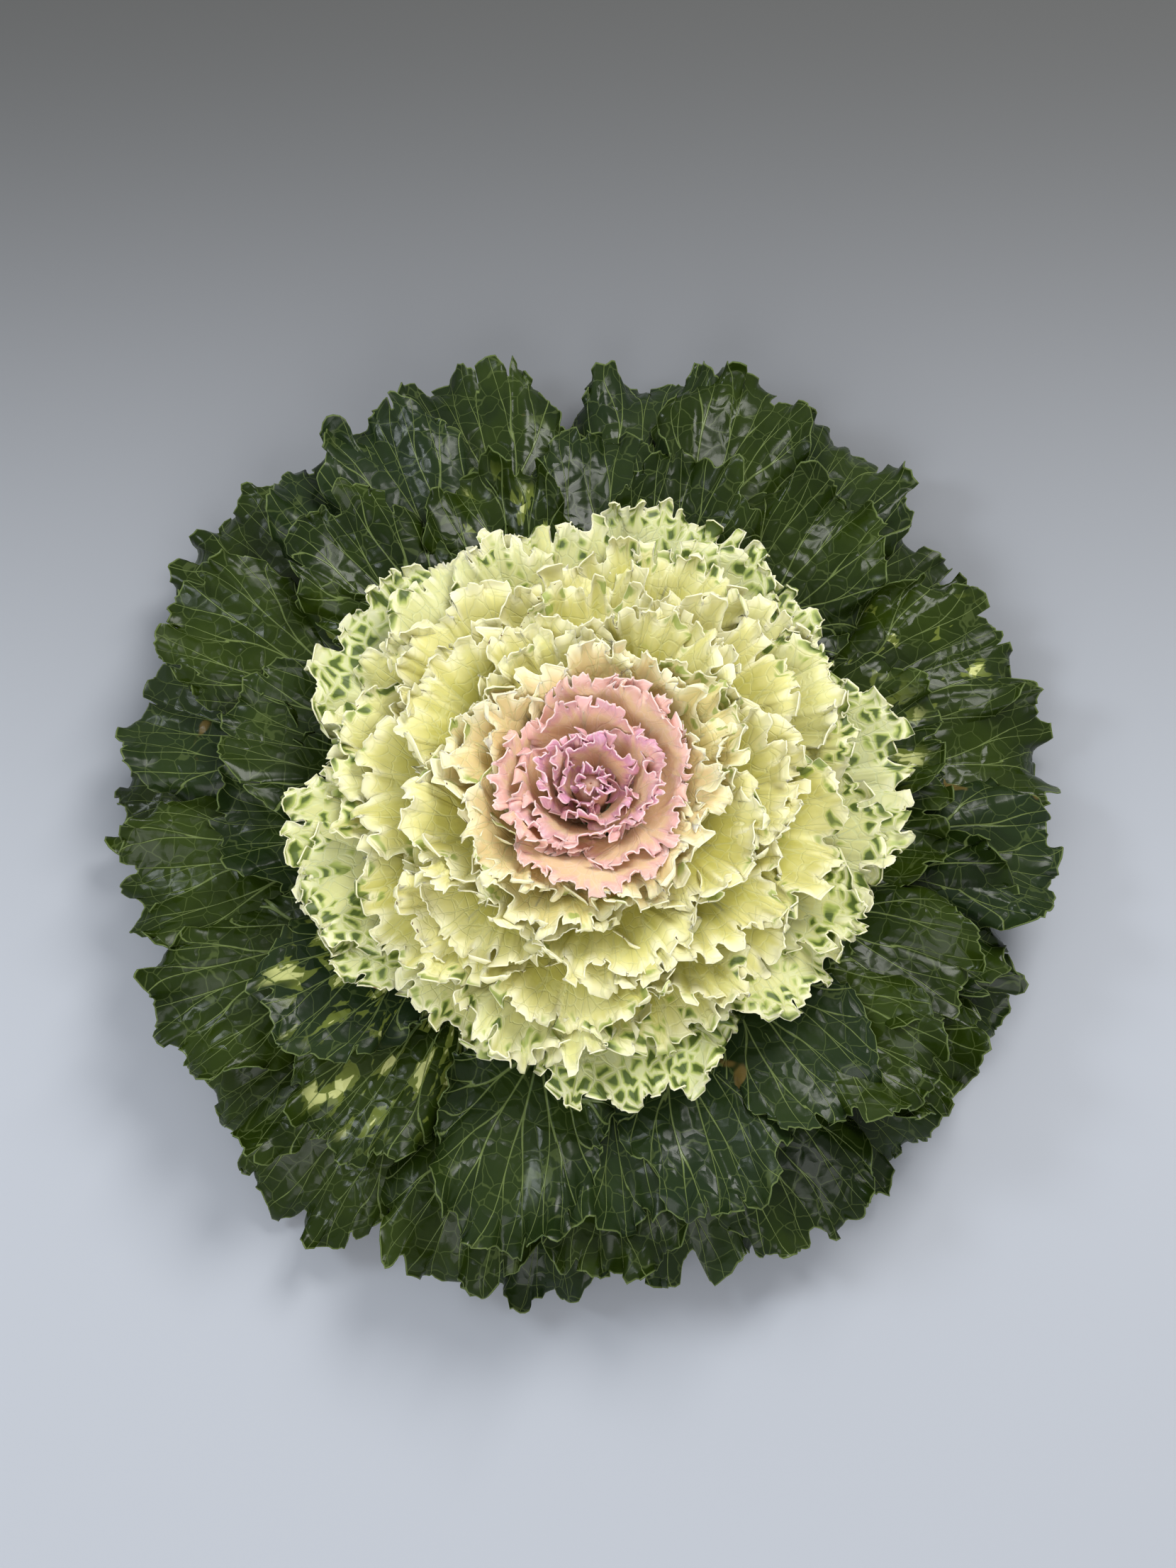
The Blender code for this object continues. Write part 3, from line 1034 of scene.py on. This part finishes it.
@dataclass(frozen=True)
class LeafFinish:
    """What the finishes of all leaves share: the forking veins and the net between them.

    Attributes:
        vein_spacing: the angle between the veins where they start.
        vein_width: width of a vein at the foot of the blade.
        net_size: size of the net's meshes.
        roughness: the least roughness.
        mottling: how much roughness clouds add.
        specular: how strongly the leaf mirrors light.
        bump_height: height of the bump.
        scatter: how far red, green and blue light go inside, as shares of the scattering depth.
    """

    vein_spacing: float = math.radians(27)
    vein_width: float = 1.0 * MM
    net_size: float = 8 * MM
    roughness: float = 0.36
    mottling: float = 0.2
    specular: float = 0.4
    bump_height: float = 0.4 * MM
    scatter: Colour = (1.0, 0.95, 0.45)

    SCATTER_DEPTH = 1 * MM
    SCATTER_WEIGHT = 0.5

    def veins(self, leaf: LeafShader) -> Socket:
        """The veins, which fork twice and thin out towards the margin.

        The distance from the nearest whole turn step is folded at a growing offset, once for each fork.

        Args:
            leaf: the material in the making.

        Returns:
            One on a vein and zero off it.
        """
        gap = leaf.math("PINGPONG", leaf.math("DIVIDE", leaf.turn, self.vein_spacing), 0.5)
        for start, end, offset in ((0.3, 0.75, 0.25), (0.62, 1.0, 0.125)):
            gap = leaf.math("ABSOLUTE", leaf.minus(gap, leaf.rise(leaf.share, start, end, offset)))
        distance = leaf.times(leaf.times(gap, self.vein_spacing), leaf.radius)
        width = leaf.times(leaf.minus(1.22, leaf.share), self.vein_width)
        return leaf.rise(distance, width, leaf.times(width, 0.3))

    def net(self, leaf: LeafShader, line: float) -> tuple[Socket, Socket, Socket]:
        """The fine net between the veins.

        Args:
            leaf: the material in the making.
            line: half the width of the net's lines, in meshes.

        Returns:
            One on the net and zero off it, the distance from it in meshes, and a chance number per mesh.
        """
        wall, chance = leaf.cells(leaf.swayed(leaf.flat, 120.0, 0.0035), 1 / self.net_size)
        return leaf.rise(wall, line, line * 0.3), wall, chance

    def gloss(self, leaf: LeafShader, body: Socket, scale: float, below: Socket | None = None) -> None:
        """Set the surface's colour, its cloudy roughness and how it mirrors light.

        Args:
            leaf: the material in the making.
            body: the leaf's colour.
            scale: clouds of roughness to the metre.
            below: one on a rougher underside, where the leaf has one.
        """
        rough = leaf.plus(leaf.times(leaf.clouds(scale, 2.0), self.mottling), self.roughness)
        if below is not None:
            rough = leaf.plus(rough, leaf.times(below, 0.3))
        leaf.set(Base_Color=body, Roughness=rough, Specular_IOR_Level=self.specular)

    def scattering(self, leaf: LeafShader) -> None:
        """Let light scatter inside the leaf."""
        leaf.set(Subsurface_Weight=self.SCATTER_WEIGHT, Subsurface_Scale=self.SCATTER_DEPTH)
        leaf.set(Subsurface_Radius=self.scatter)


@dataclass(frozen=True)
class GreenLeafFinish(LeafFinish):
    """Waxy dark green with pale yellow-green veins and a thin pale edge."""

    roughness: float = 0.06
    mottling: float = 0.4
    specular: float = 0.17
    bump_height: float = 0.6 * MM
    dark: Colour = (0.006, 0.014, 0.0012)
    light: Colour = (0.022, 0.038, 0.003)
    cool: Colour = (0.013, 0.025, 0.010)
    vein: Colour = (0.14, 0.185, 0.055)
    under: Colour = (0.06, 0.10, 0.03)
    marbled: Colour = (0.12, 0.15, 0.025)
    pale: Colour = (0.50, 0.52, 0.20)
    blemish: Colour = (0.13, 0.09, 0.025)

    def marble(self, leaf: LeafShader, body: Socket, cell: Socket) -> Socket:
        """Pale streaks out along the rays of the marbled leaves.

        Noise on direction and share, plus a step from mesh to mesh and one for how marbled the leaf is,
        passes a first threshold for the half pale colour and a second one for the pale colour.

        Args:
            leaf: the material in the making.
            body: the colour below.
            cell: the chance number of the net's mesh.

        Returns:
            The colour with the streaks.
        """
        plane = leaf.joined(leaf.times(leaf.turn, 1.3), leaf.times(leaf.share, 0.9), 0.0)
        streaks = leaf.plus(leaf.noise(plane, 3.4, 4.0), leaf.times(cell, 0.12))
        streaks = leaf.plus(streaks, leaf.times(leaf.marbling, 0.12))
        amount = leaf.times(leaf.rise(leaf.marbling, 0.0, 0.1), leaf.rise(leaf.share, 0.98, 0.8))
        for low, colour in ((0.695, self.marbled), (0.765, self.pale)):
            patch = leaf.times(leaf.rise(streaks, low, low + 0.02), amount)
            body = leaf.mix(patch, body, colour)
        return body

    def material(self) -> bpy.types.Material:
        """The green leaves' material.

        Returns:
            The material.
        """
        leaf = LeafShader("green_leaf")
        body = leaf.mix(leaf.rise(leaf.clouds(28.0, 4.0), 0.38, 0.68), self.dark, self.light)
        body = leaf.mix(leaf.rise(leaf.chance, 0.5, 0.9, 0.7), body, self.cool)
        body = leaf.mix(leaf.rise(leaf.chance, 0.5, 0.1, 0.4), body, self.light)
        net, wall, cell = self.net(leaf, 0.03)
        body = leaf.mix(leaf.times(cell, 0.2), body, self.light)
        body = self.marble(leaf, body, cell)
        body = leaf.mix(leaf.times(net, 0.24), body, self.vein)
        veins = self.veins(leaf)
        body = leaf.mix(leaf.times(veins, 0.8), body, self.vein)
        spots = leaf.rise(leaf.clouds(60.0, 1.5), 0.735, 0.765, 0.85)
        body = leaf.mix(leaf.times(spots, leaf.rise(leaf.chance, 0.62, 0.66)), body, self.blemish)
        body = leaf.mix(leaf.rim(0.8 * MM, 0.2 * MM, 0.7), body, self.vein)
        below = leaf.math("LESS_THAN", leaf.side, 0.0)
        body = leaf.mix(leaf.times(below, 0.7), body, self.under)
        self.gloss(leaf, body, 40.0, below)
        fine, _ = leaf.cells(leaf.flat, 1 / (2.6 * MM))
        height = leaf.plus(leaf.times(fine, 0.04), leaf.clouds(45.0, 1.0))
        height = leaf.plus(height, leaf.rise(wall, 0.0, 0.4, 0.6))
        leaf.bump(leaf.minus(height, leaf.times(veins, 0.4)), self.bump_height)
        return leaf.material


@dataclass(frozen=True)
class CreamLeafFinish(LeafFinish):
    """Ivory blades, paler at the margin and deeper yellow-green far from it, partly their own tone and partly
    painted light on the rims and painted shade in the head's depths, with green marks near the margins of the
    outer ones.
    """

    net_size: float = 5.5 * MM
    vein_width: float = 0.7 * MM
    ivory: Colour = (0.79, 0.745, 0.34)
    white: Colour = (0.59, 0.60, 0.29)
    # Pale margin colour: partly the blade's own pale edge, partly painted light on the rims.
    edge: Colour = (0.90, 0.86, 0.60)
    # Yellow-green of the depths: partly the blade's own tone, partly painted shade deep in the head.
    depth: Colour = (0.50, 0.47, 0.10)
    peach: Colour = (0.76, 0.58, 0.30)
    grey: Colour = (0.50, 0.56, 0.34)
    leafy: Colour = (0.30, 0.38, 0.05)
    green: Colour = (0.06, 0.10, 0.008)
    speck: Colour = (0.14, 0.07, 0.03)

    def ground(self, leaf: LeafShader) -> Socket:
        """The blade's colour: ivory to white, deeper far from the margin as its own tone and painted shade of
        the head's depths, paler at the margin as its own tone and painted light, and peach on the inmost
        leaves.

        Args:
            leaf: the material in the making.

        Returns:
            The colour.
        """
        pale = leaf.mix(leaf.rise(leaf.stage, 0.5, 0.05), self.ivory, self.white)
        # Deeper far from the margin: partly the blade's own tone, partly painted shade where the blades lie
        # deep in the head.
        clouds = leaf.rise(leaf.clouds(45.0, 3.0), 0.35, 0.7, 0.45)
        deep_tone_and_shade = leaf.plus(leaf.plus(leaf.rim(3 * MM, 24 * MM, 0.8), clouds), leaf.times(leaf.chance, 0.25))
        deep_tone_and_shade = leaf.math("MINIMUM", leaf.times(deep_tone_and_shade, leaf.rise(leaf.stage, 0.0, 0.4)), 0.9)
        body = leaf.mix(deep_tone_and_shade, pale, self.depth)
        warm = leaf.plus(leaf.stage, leaf.times(leaf.chance, 0.1))
        body = leaf.mix(leaf.rise(warm, 0.82, 1.02, 0.85), body, self.peach)
        # Paler towards the margin: partly the margin's own pale colour, partly painted light on the raised
        # rims.
        return leaf.mix(leaf.rim(7 * MM, 0.3 * MM, 0.75), body, self.edge)

    def green_marks(self, leaf: LeafShader, wall: Socket, cell: Socket) -> Socket:
        """Blots that fill some meshes of the net near the margins, most of them on the outer leaves.

        A mesh is chosen where its chance number, a cloud, the leaf's chance number, the nearness of the
        margin and the leaf's place among the outer ones add up to enough.

        Args:
            leaf: the material in the making.
            wall: the point's distance from the net.
            cell: the chance number of its mesh.

        Returns:
            How green the point is.
        """
        clusters = leaf.plus(leaf.clouds(42.0, 2.0), leaf.rise(leaf.chance, 0.15, 0.95, 0.2))
        place = leaf.plus(leaf.rim(13 * MM, 1 * MM, 0.26), leaf.rise(leaf.stage, 0.45, 0.0, 0.42))
        chosen = leaf.plus(leaf.plus(leaf.times(cell, 0.32), clusters), place)
        mark = leaf.times(leaf.rise(chosen, 1.09, 1.26), leaf.rise(wall, 0.0, 0.36))
        return leaf.times(mark, leaf.rim(26 * MM, 14 * MM))

    def material(self) -> bpy.types.Material:
        """The cream leaves' material.

        Returns:
            The material.
        """
        leaf = LeafShader("cream_leaf")
        body = self.ground(leaf)
        net, wall, cell = self.net(leaf, 0.07)
        veins = self.veins(leaf)
        lines = leaf.math("MAXIMUM", leaf.times(net, 0.3), leaf.times(veins, 0.45))
        body = leaf.mix(lines, body, leaf.mix(leaf.rise(leaf.stage, 0.08, 0.3), self.grey, self.white))
        mark = self.green_marks(leaf, wall, cell)
        body = leaf.mix(leaf.rise(mark, 0.0, 0.4, 0.8), body, self.leafy)
        core = leaf.times(leaf.rise(mark, 0.32, 0.85, 0.95), leaf.rise(leaf.stage, 0.6, 0.25))
        body = leaf.mix(core, body, self.green)
        # A thin bright rim: partly the margin's own pale edge, partly painted light that keeps the thin rims
        # bright where they would shade grey.
        body = leaf.mix(leaf.rim(0.7 * MM, 0.15 * MM, 0.7), body, self.edge)
        tiny = leaf.times(leaf.rise(leaf.clouds(900.0, 1.0), 0.70, 0.73), leaf.rim(2.0 * MM, 0.8 * MM))
        tiny = leaf.times(tiny, leaf.rise(leaf.clouds(50.0, 1.0), 0.5, 0.58))
        self.gloss(leaf, leaf.mix(tiny, body, self.speck), 100.0)
        self.scattering(leaf)
        height = leaf.minus(leaf.clouds(140.0, 3.0), leaf.times(net, 0.25))
        leaf.bump(leaf.minus(height, leaf.times(veins, 0.3)), self.bump_height)
        return leaf.material


@dataclass(frozen=True)
class PinkLeafFinish(LeafFinish):
    """Peach walls with pink to mauve frills."""

    net_size: float = 4.5 * MM
    vein_width: float = 0.5 * MM
    bump_height: float = 0.35 * MM
    scatter: Colour = (1.0, 0.6, 0.5)
    peach: Colour = (0.77, 0.56, 0.33)
    pink: Colour = (0.76, 0.46, 0.39)
    mauve: Colour = (0.62, 0.30, 0.43)
    tip: Colour = (0.94, 0.72, 0.70)

    def material(self) -> bpy.types.Material:
        """The heart leaves' material.

        Returns:
            The material.
        """
        leaf = LeafShader("pink_leaf")
        warmth = leaf.plus(leaf.times(leaf.stage, 0.7), leaf.rim(11 * MM, 1.0 * MM, 0.9))
        warmth = leaf.plus(warmth, leaf.times(leaf.minus(leaf.clouds(70.0, 3.0), 0.5), 0.8))
        body = leaf.mix(leaf.rise(warmth, 0.35, 1.0), self.peach, self.pink)
        body = leaf.mix(leaf.rise(warmth, 0.95, 1.5), body, self.mauve)
        body = leaf.mix(leaf.rim(0.9 * MM, 0.15 * MM, 0.6), body, self.tip)
        net, _, _ = self.net(leaf, 0.07)
        veins = self.veins(leaf)
        body = leaf.mix(leaf.times(leaf.math("MAXIMUM", net, veins), 0.2), body, self.tip)
        self.gloss(leaf, body, 100.0)
        self.scattering(leaf)
        leaf.bump(leaf.minus(leaf.clouds(150.0, 3.0), leaf.times(veins, 0.3)), self.bump_height)
        return leaf.material


@dataclass(frozen=True)
class StemFinish:
    """Pale green stem with fine lengthwise fibres and a drier, paler cut."""

    skin: Colour = (0.42, 0.52, 0.24)
    fibre: Colour = (0.60, 0.66, 0.40)
    pith: Colour = (0.72, 0.72, 0.52)

    def material(self) -> bpy.types.Material:
        """The stem's material, with a pattern on the object's own coordinates.

        Returns:
            The material.
        """
        shader = Shader("kale_stem")
        place = shader.node("TexCoord").outputs["Object"]
        stretch = shader.node("Mapping", Vector=place, Scale=(1.0, 1.0, 0.12))
        fibres = shader.noise(stretch.outputs["Vector"], 600.0, 3.0)
        _, _, height = shader.split(place)
        body = shader.mix(shader.rise(fibres, 0.42, 0.62), self.skin, self.fibre)
        body = shader.mix(shader.rise(height, 0.6 * MM, 0.1 * MM), body, self.pith)
        shader.set(Base_Color=body, Roughness=shader.plus(shader.times(fibres, 0.3), 0.4))
        shader.bump(fibres, 0.5 * MM)
        return shader.material


@dataclass
class LeafRows:
    """All leaves of one colour, with the crowded leaf bases that they grow from.

    Attributes:
        node: the node that they replace.
        slot: the record's material slot, which also starts the pieces' names.
        stage: the sizes of the leaves.
        finish: what their material is made from.
        base_profile: radius and height in millimetres round the section of the fused leaf bases.
        floor: the bowl that the leaves stay above, if any.
        roof: the bowl that they stay below, if any.
        marbled: how marbled some leaves are, by number.
        between: how many more leaves fill the gaps.
        base_stage: the stage whose colours the leaf bases have.
        ridges: how many ridges the leaf bases have.
        pieces: the pieces made so far.
        FIRST_SEED: seed of the first leaf's lobes, teeth and waves. Each next leaf has the next one.
        BETWEEN_SEED: seed of the leaves that fill the gaps.
        TURN_SWING: the most that a leaf is off the spiral.
        REACH_SWING: the most that it reaches further or less far than its stage says.
        BETWEEN_SWING: the same for leaves that fill the gaps, from the least to the most.
        RIDGE: height of the ridges of the leaf bases, as a share of the radius.
        BASE_COLUMNS: how many columns the mesh of the leaf bases has round the stem.
        BASE_ROWS: how many rows it has round its section.
    """

    node: str
    slot: str
    stage: Stage
    finish: GreenLeafFinish | CreamLeafFinish | PinkLeafFinish
    base_profile: tuple[Pair, ...]
    floor: Array | None
    roof: Array | None
    marbled: dict[int, float] = field(default_factory=dict)
    between: int = 0
    base_stage: float = 0.3
    ridges: int = 13
    pieces: list[bpy.types.Object] = field(default_factory=list)

    FIRST_SEED = 1000
    BETWEEN_SEED = 77
    TURN_SWING = math.radians(6)
    REACH_SWING = 2.5 * MM
    BETWEEN_SWING = (-5 * MM, 1 * MM)
    RIDGE = 0.05
    BASE_COLUMNS = 120
    BASE_ROWS = 40

    def directions(self, first_turn: int, draw: Draw) -> Iterator[Pair]:
        """Leaves that follow the spiral on their own.

        Args:
            first_turn: how many golden angles the first of them is round the stem.
            draw: the source of their small departures from the spiral.

        Yields:
            The direction and the reach of each.
        """
        turn, reach = self.TURN_SWING, self.REACH_SWING
        last = self.stage.count - 1
        for number in range(self.stage.count):
            azimuth = (first_turn + number) * GOLDEN_ANGLE + draw.uniform(-turn, turn)
            yield azimuth, blend(self.stage.reach, number / last) + draw.uniform(-reach, reach)

    def leaf(self, number: int, share: float, way: Pair, draw: Draw, material: bpy.types.Material) -> None:
        """Make one leaf and add it to the pieces.

        Args:
            number: the leaf's number, which seeds its own lobes, teeth and waves.
            share: how far it is from the outermost leaf to the innermost.
            way: its direction and its reach.
            draw: the source of its roll and tip height.
            material: its finish.
        """
        leaf = Leaf(self.stage, share, *way, draw)
        chance = np.random.default_rng(self.FIRST_SEED + number)
        blade = leaf.blade_surface(chance, self.floor, self.roof)
        whole = Surface.joined([blade, leaf.stalk_surface(self.floor, self.roof)])
        marks = (leaf.share, float(chance.uniform()), self.marbled.get(number, 0.0))
        self.pieces.append(whole.to_object(f"{self.slot}_{number:02d}", marks, material))

    def leaf_bases(self) -> Surface:
        """The fused leaf bases.

        The profile is turned about the stem, and its radius swells by |sin| of half the turn times the
        number of ridges, one for each leaf base.

        Returns:
            The closed surface.
        """
        around = np.linspace(0, TAU, self.BASE_COLUMNS, endpoint=False)
        ridge = 1 + self.RIDGE * np.abs(np.sin(self.ridges * around / 2))
        closed = np.array([*self.base_profile, self.base_profile[0]]) * MM
        steps = np.concatenate([[0], np.cumsum(np.linalg.norm(np.diff(closed, axis=0), axis=1))])
        even = np.linspace(0, steps[-1], self.BASE_ROWS, endpoint=False)
        radius = np.interp(even, steps, closed[:, 0])[:, None] * ridge
        height = np.broadcast_to(np.interp(even, steps, closed[:, 1])[:, None], radius.shape)
        points = np.stack([radius * np.cos(around), radius * np.sin(around), height], axis=-1)
        index = np.arange(points[..., 0].size).reshape(radius.shape)
        beside, above = np.roll(index, -1, axis=1), np.roll(index, -1, axis=0)
        quads = np.stack([index, beside, np.roll(above, -1, axis=1), above], axis=-1).reshape(-1, 4)
        flat = np.stack([points[..., 0], height, np.full_like(radius, Side.UPPER.value)], axis=-1)
        inward = np.full_like(radius, BASE_INWARD)
        fan = np.stack([np.zeros_like(radius), np.full_like(radius, 0.05), inward], axis=-1)
        return Surface(points.reshape(-1, 3), [quads], flat.reshape(-1, 3), fan.reshape(-1, 3)).facing_out()

    def build(self, directions: list[Pair], draw: Draw) -> None:
        """Make every leaf and the leaf bases, in place of the node.

        Args:
            directions: direction and reach of each leaf, outermost first.
            draw: the source of each leaf's roll and tip height.
        """
        material = self.finish.material()
        last = self.stage.count - 1
        for number, way in enumerate(directions):
            self.leaf(number, number / last, way, draw, material)
        extra = np.random.default_rng(self.BETWEEN_SEED)
        for number in range(self.between):
            step = last * (number + 0.5) / self.between
            reach = blend(self.stage.reach, step / last) + extra.uniform(*self.BETWEEN_SWING)
            way = ((number + 0.5) * GOLDEN_ANGLE, reach)
            self.leaf(self.stage.count + number, step / last, way, extra, material)
        bases = self.leaf_bases().to_object(f"{self.slot}_bases", (self.base_stage, 0.5, 0.0), material)
        self.pieces.append(bases)
        for piece in self.pieces:
            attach(piece, "root")
            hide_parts(self.node)
        triangles = sum(len(piece.data.loops) - 2 * len(piece.data.polygons) for piece in self.pieces)
        LOG.info("%s: %d pieces, %d triangles", self.node, len(self.pieces), triangles)


@dataclass
class Stem:
    """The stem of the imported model, which keeps its shape."""

    node: str = "stem"
    finish: StemFinish = field(default_factory=StemFinish)

    def dress(self) -> None:
        """Give the stem its finish, in every material slot that it has."""
        obj = bpy.data.objects[self.node]
        material = self.finish.material()
        if not obj.material_slots:
            obj.data.materials.append(material)
        for slot in obj.material_slots:
            slot.material = material
        LOG.info("%s: dressed", self.node)


@dataclass
class Studio:
    """The pale floor, the soft lights and the camera.

    Attributes:
        floor_size: length of the floor's side.
        floor_front: its colour in front of the head.
        floor_back_painted_shade: its colour behind it, darkened as painted shade for the light's falloff away
            from the front.
        floor_painted_shade_span: from where to where, behind the stem's axis, the painted shade deepens.
        view_elevation: how steeply the camera looks down.
        view_distance: how far it is from the point that it looks at.
        focal_length: of its lens, in millimetres.
        aim: the point that it looks at.
        light_aim: the point that the lamps face.
    """

    floor_size: float = 6.0
    floor_front: Colour = (0.375, 0.398, 0.44)
    # Painted shade: the floor's colour far behind the head, where the light falls off.
    floor_back_painted_shade: Colour = (0.062, 0.063, 0.062)
    floor_painted_shade_span: Pair = (-0.12, 0.42)
    view_elevation: float = math.radians(77)
    view_distance: float = 1.353
    focal_length: float = 77.6
    aim: tuple[float, float, float] = (-0.001, 0.0165, 0.035)
    light_aim: tuple[float, float, float] = (0.0, 0.0, 0.06)

    def floor(self) -> None:
        """A plain pale floor whose grey darkens away from the front as painted shade, standing in for the
        light's falloff.
        """
        half = self.floor_size / 2
        mesh = bpy.data.meshes.new("floor")
        corners = [(-half, -half, 0), (half, -half, 0), (half, half, 0), (-half, half, 0)]
        mesh.from_pydata(corners, [], [(0, 1, 2, 3)])
        obj = bpy.data.objects.new("floor", mesh)
        bpy.context.scene.collection.objects.link(obj)
        shader = Shader("floor")
        _, back, _ = shader.split(shader.node("TexCoord").outputs["Object"])
        # Painted shade: the floor darkens towards the back as the light falls off.
        shade = shader.rise(back, *self.floor_painted_shade_span)
        shader.set(Base_Color=shader.mix(shade, self.floor_front, self.floor_back_painted_shade), Roughness=0.75)
        mesh.materials.append(shader.material)

    def lamp(self, name: str, place: tuple, size: float, power: float, colour: Colour) -> None:
        """A square soft light that faces the head.

        Args:
            name: its name.
            place: where it hangs.
            size: the length of its side.
            power: its power in watts.
            colour: its colour.
        """
        data = bpy.data.lights.new(name, "AREA")
        data.size = size
        data.energy = power
        data.color = colour
        obj = bpy.data.objects.new(name, data)
        obj.location = place
        obj.rotation_euler = self.facing(np.array(place), np.array(self.light_aim))
        bpy.context.scene.collection.objects.link(obj)

    @staticmethod
    def facing(place: Array, target: Array) -> tuple[float, float, float]:
        """Turns that point an object's -Z axis from a place to a target.

        Args:
            place: where the object is.
            target: the point that it faces.

        Returns:
            The turns about X, Y and Z.
        """
        away = place - target
        return math.atan2(math.hypot(away[0], away[1]), away[2]), 0.0, math.atan2(away[0], -away[1])

    def light(self) -> None:
        """A broad light from behind to the right, weaker ones from the left and the front, and a pale sky."""
        self.lamp("broad", place=(0.6, 0.9, 1.3), size=0.7, power=22.0, colour=(1.0, 0.99, 0.97))
        self.lamp("side", place=(-1.0, 0.2, 1.1), size=0.35, power=6.0, colour=(0.88, 0.94, 1.0))
        self.lamp("front", place=(-0.2, -1.2, 1.2), size=1.1, power=13.5, colour=(0.99, 0.99, 1.0))
        world = bpy.data.worlds.new("room")
        world.use_nodes = True
        world.node_tree.nodes["Background"].inputs["Color"].default_value = (0.97, 0.98, 1.0, 1)
        world.node_tree.nodes["Background"].inputs["Strength"].default_value = 0.5
        bpy.context.scene.world = world

    def camera(self) -> None:
        """A long lens that looks down at the head from the front."""
        data = bpy.data.cameras.new("camera")
        data.sensor_fit = "VERTICAL"
        data.sensor_height = 36.0
        data.lens = self.focal_length
        obj = bpy.data.objects.new("camera", data)
        aim = np.array(self.aim)
        elevation = self.view_elevation
        place = aim + self.view_distance * np.array([0, -math.cos(elevation), math.sin(elevation)])
        obj.location = place
        obj.rotation_euler = self.facing(place, aim)
        bpy.context.scene.collection.objects.link(obj)
        bpy.context.scene.camera = obj

    def build(self) -> None:
        """Set everything up."""
        self.floor()
        self.light()
        self.camera()
        bpy.context.scene.view_settings.view_transform = "Standard"
        LOG.info("studio: floor, lights and camera")


def main() -> None:
    """Build the leaves of the three colours, dress the stem and set up the studio."""
    logging.basicConfig(level=logging.INFO, format="%(message)s")
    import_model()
    draw = np.random.default_rng(SEED)
    green = LeafRows(
        node="green_leaves",
        slot="green_leaf",
        stage=GREEN,
        finish=GreenLeafFinish(),
        base_profile=((30, 12), (44, 20), (50, 33), (44, 43), (26, 42.5), (17, 42), (18.5, 12)),
        floor=None,
        roof=GREEN_CREAM_BOWL,
        marbled={38: 1.0, 42: 1.0, 29: 0.9, 31: 0.7, 36: 0.5, 14: 0.4},
    )
    green.build([(math.radians(direction), reach * MM) for direction, reach in GREEN_LEAVES], draw)
    cream = LeafRows(
        node="cream_leaves",
        slot="cream_leaf",
        stage=CREAM,
        finish=CreamLeafFinish(),
        base_profile=((30, 49.5), (46, 54), (52, 68), (47, 88), (36, 99), (27, 93), (14, 72), (16, 49.5)),
        floor=GREEN_CREAM_BOWL,
        roof=CREAM_PINK_BOWL,
        between=21,
        base_stage=0.95,
    )
    cream.build(list(cream.directions(0, draw)), draw)
    pink = LeafRows(
        node="pink_heart",
        slot="pink_leaf",
        stage=PINK,
        finish=PinkLeafFinish(),
        base_profile=((0.1, 75), (6, 75), (7, 84), (6.4, 98), (4.6, 104), (2.4, 107), (0.1, 108)),
        floor=CREAM_PINK_BOWL,
        roof=None,
        between=5,
        base_stage=1.0,
        ridges=5,
    )
    pink.build(list(pink.directions(CREAM.count, draw)), draw)
    Stem().dress()
    Studio().build()


if __name__ == "__main__":
    main()
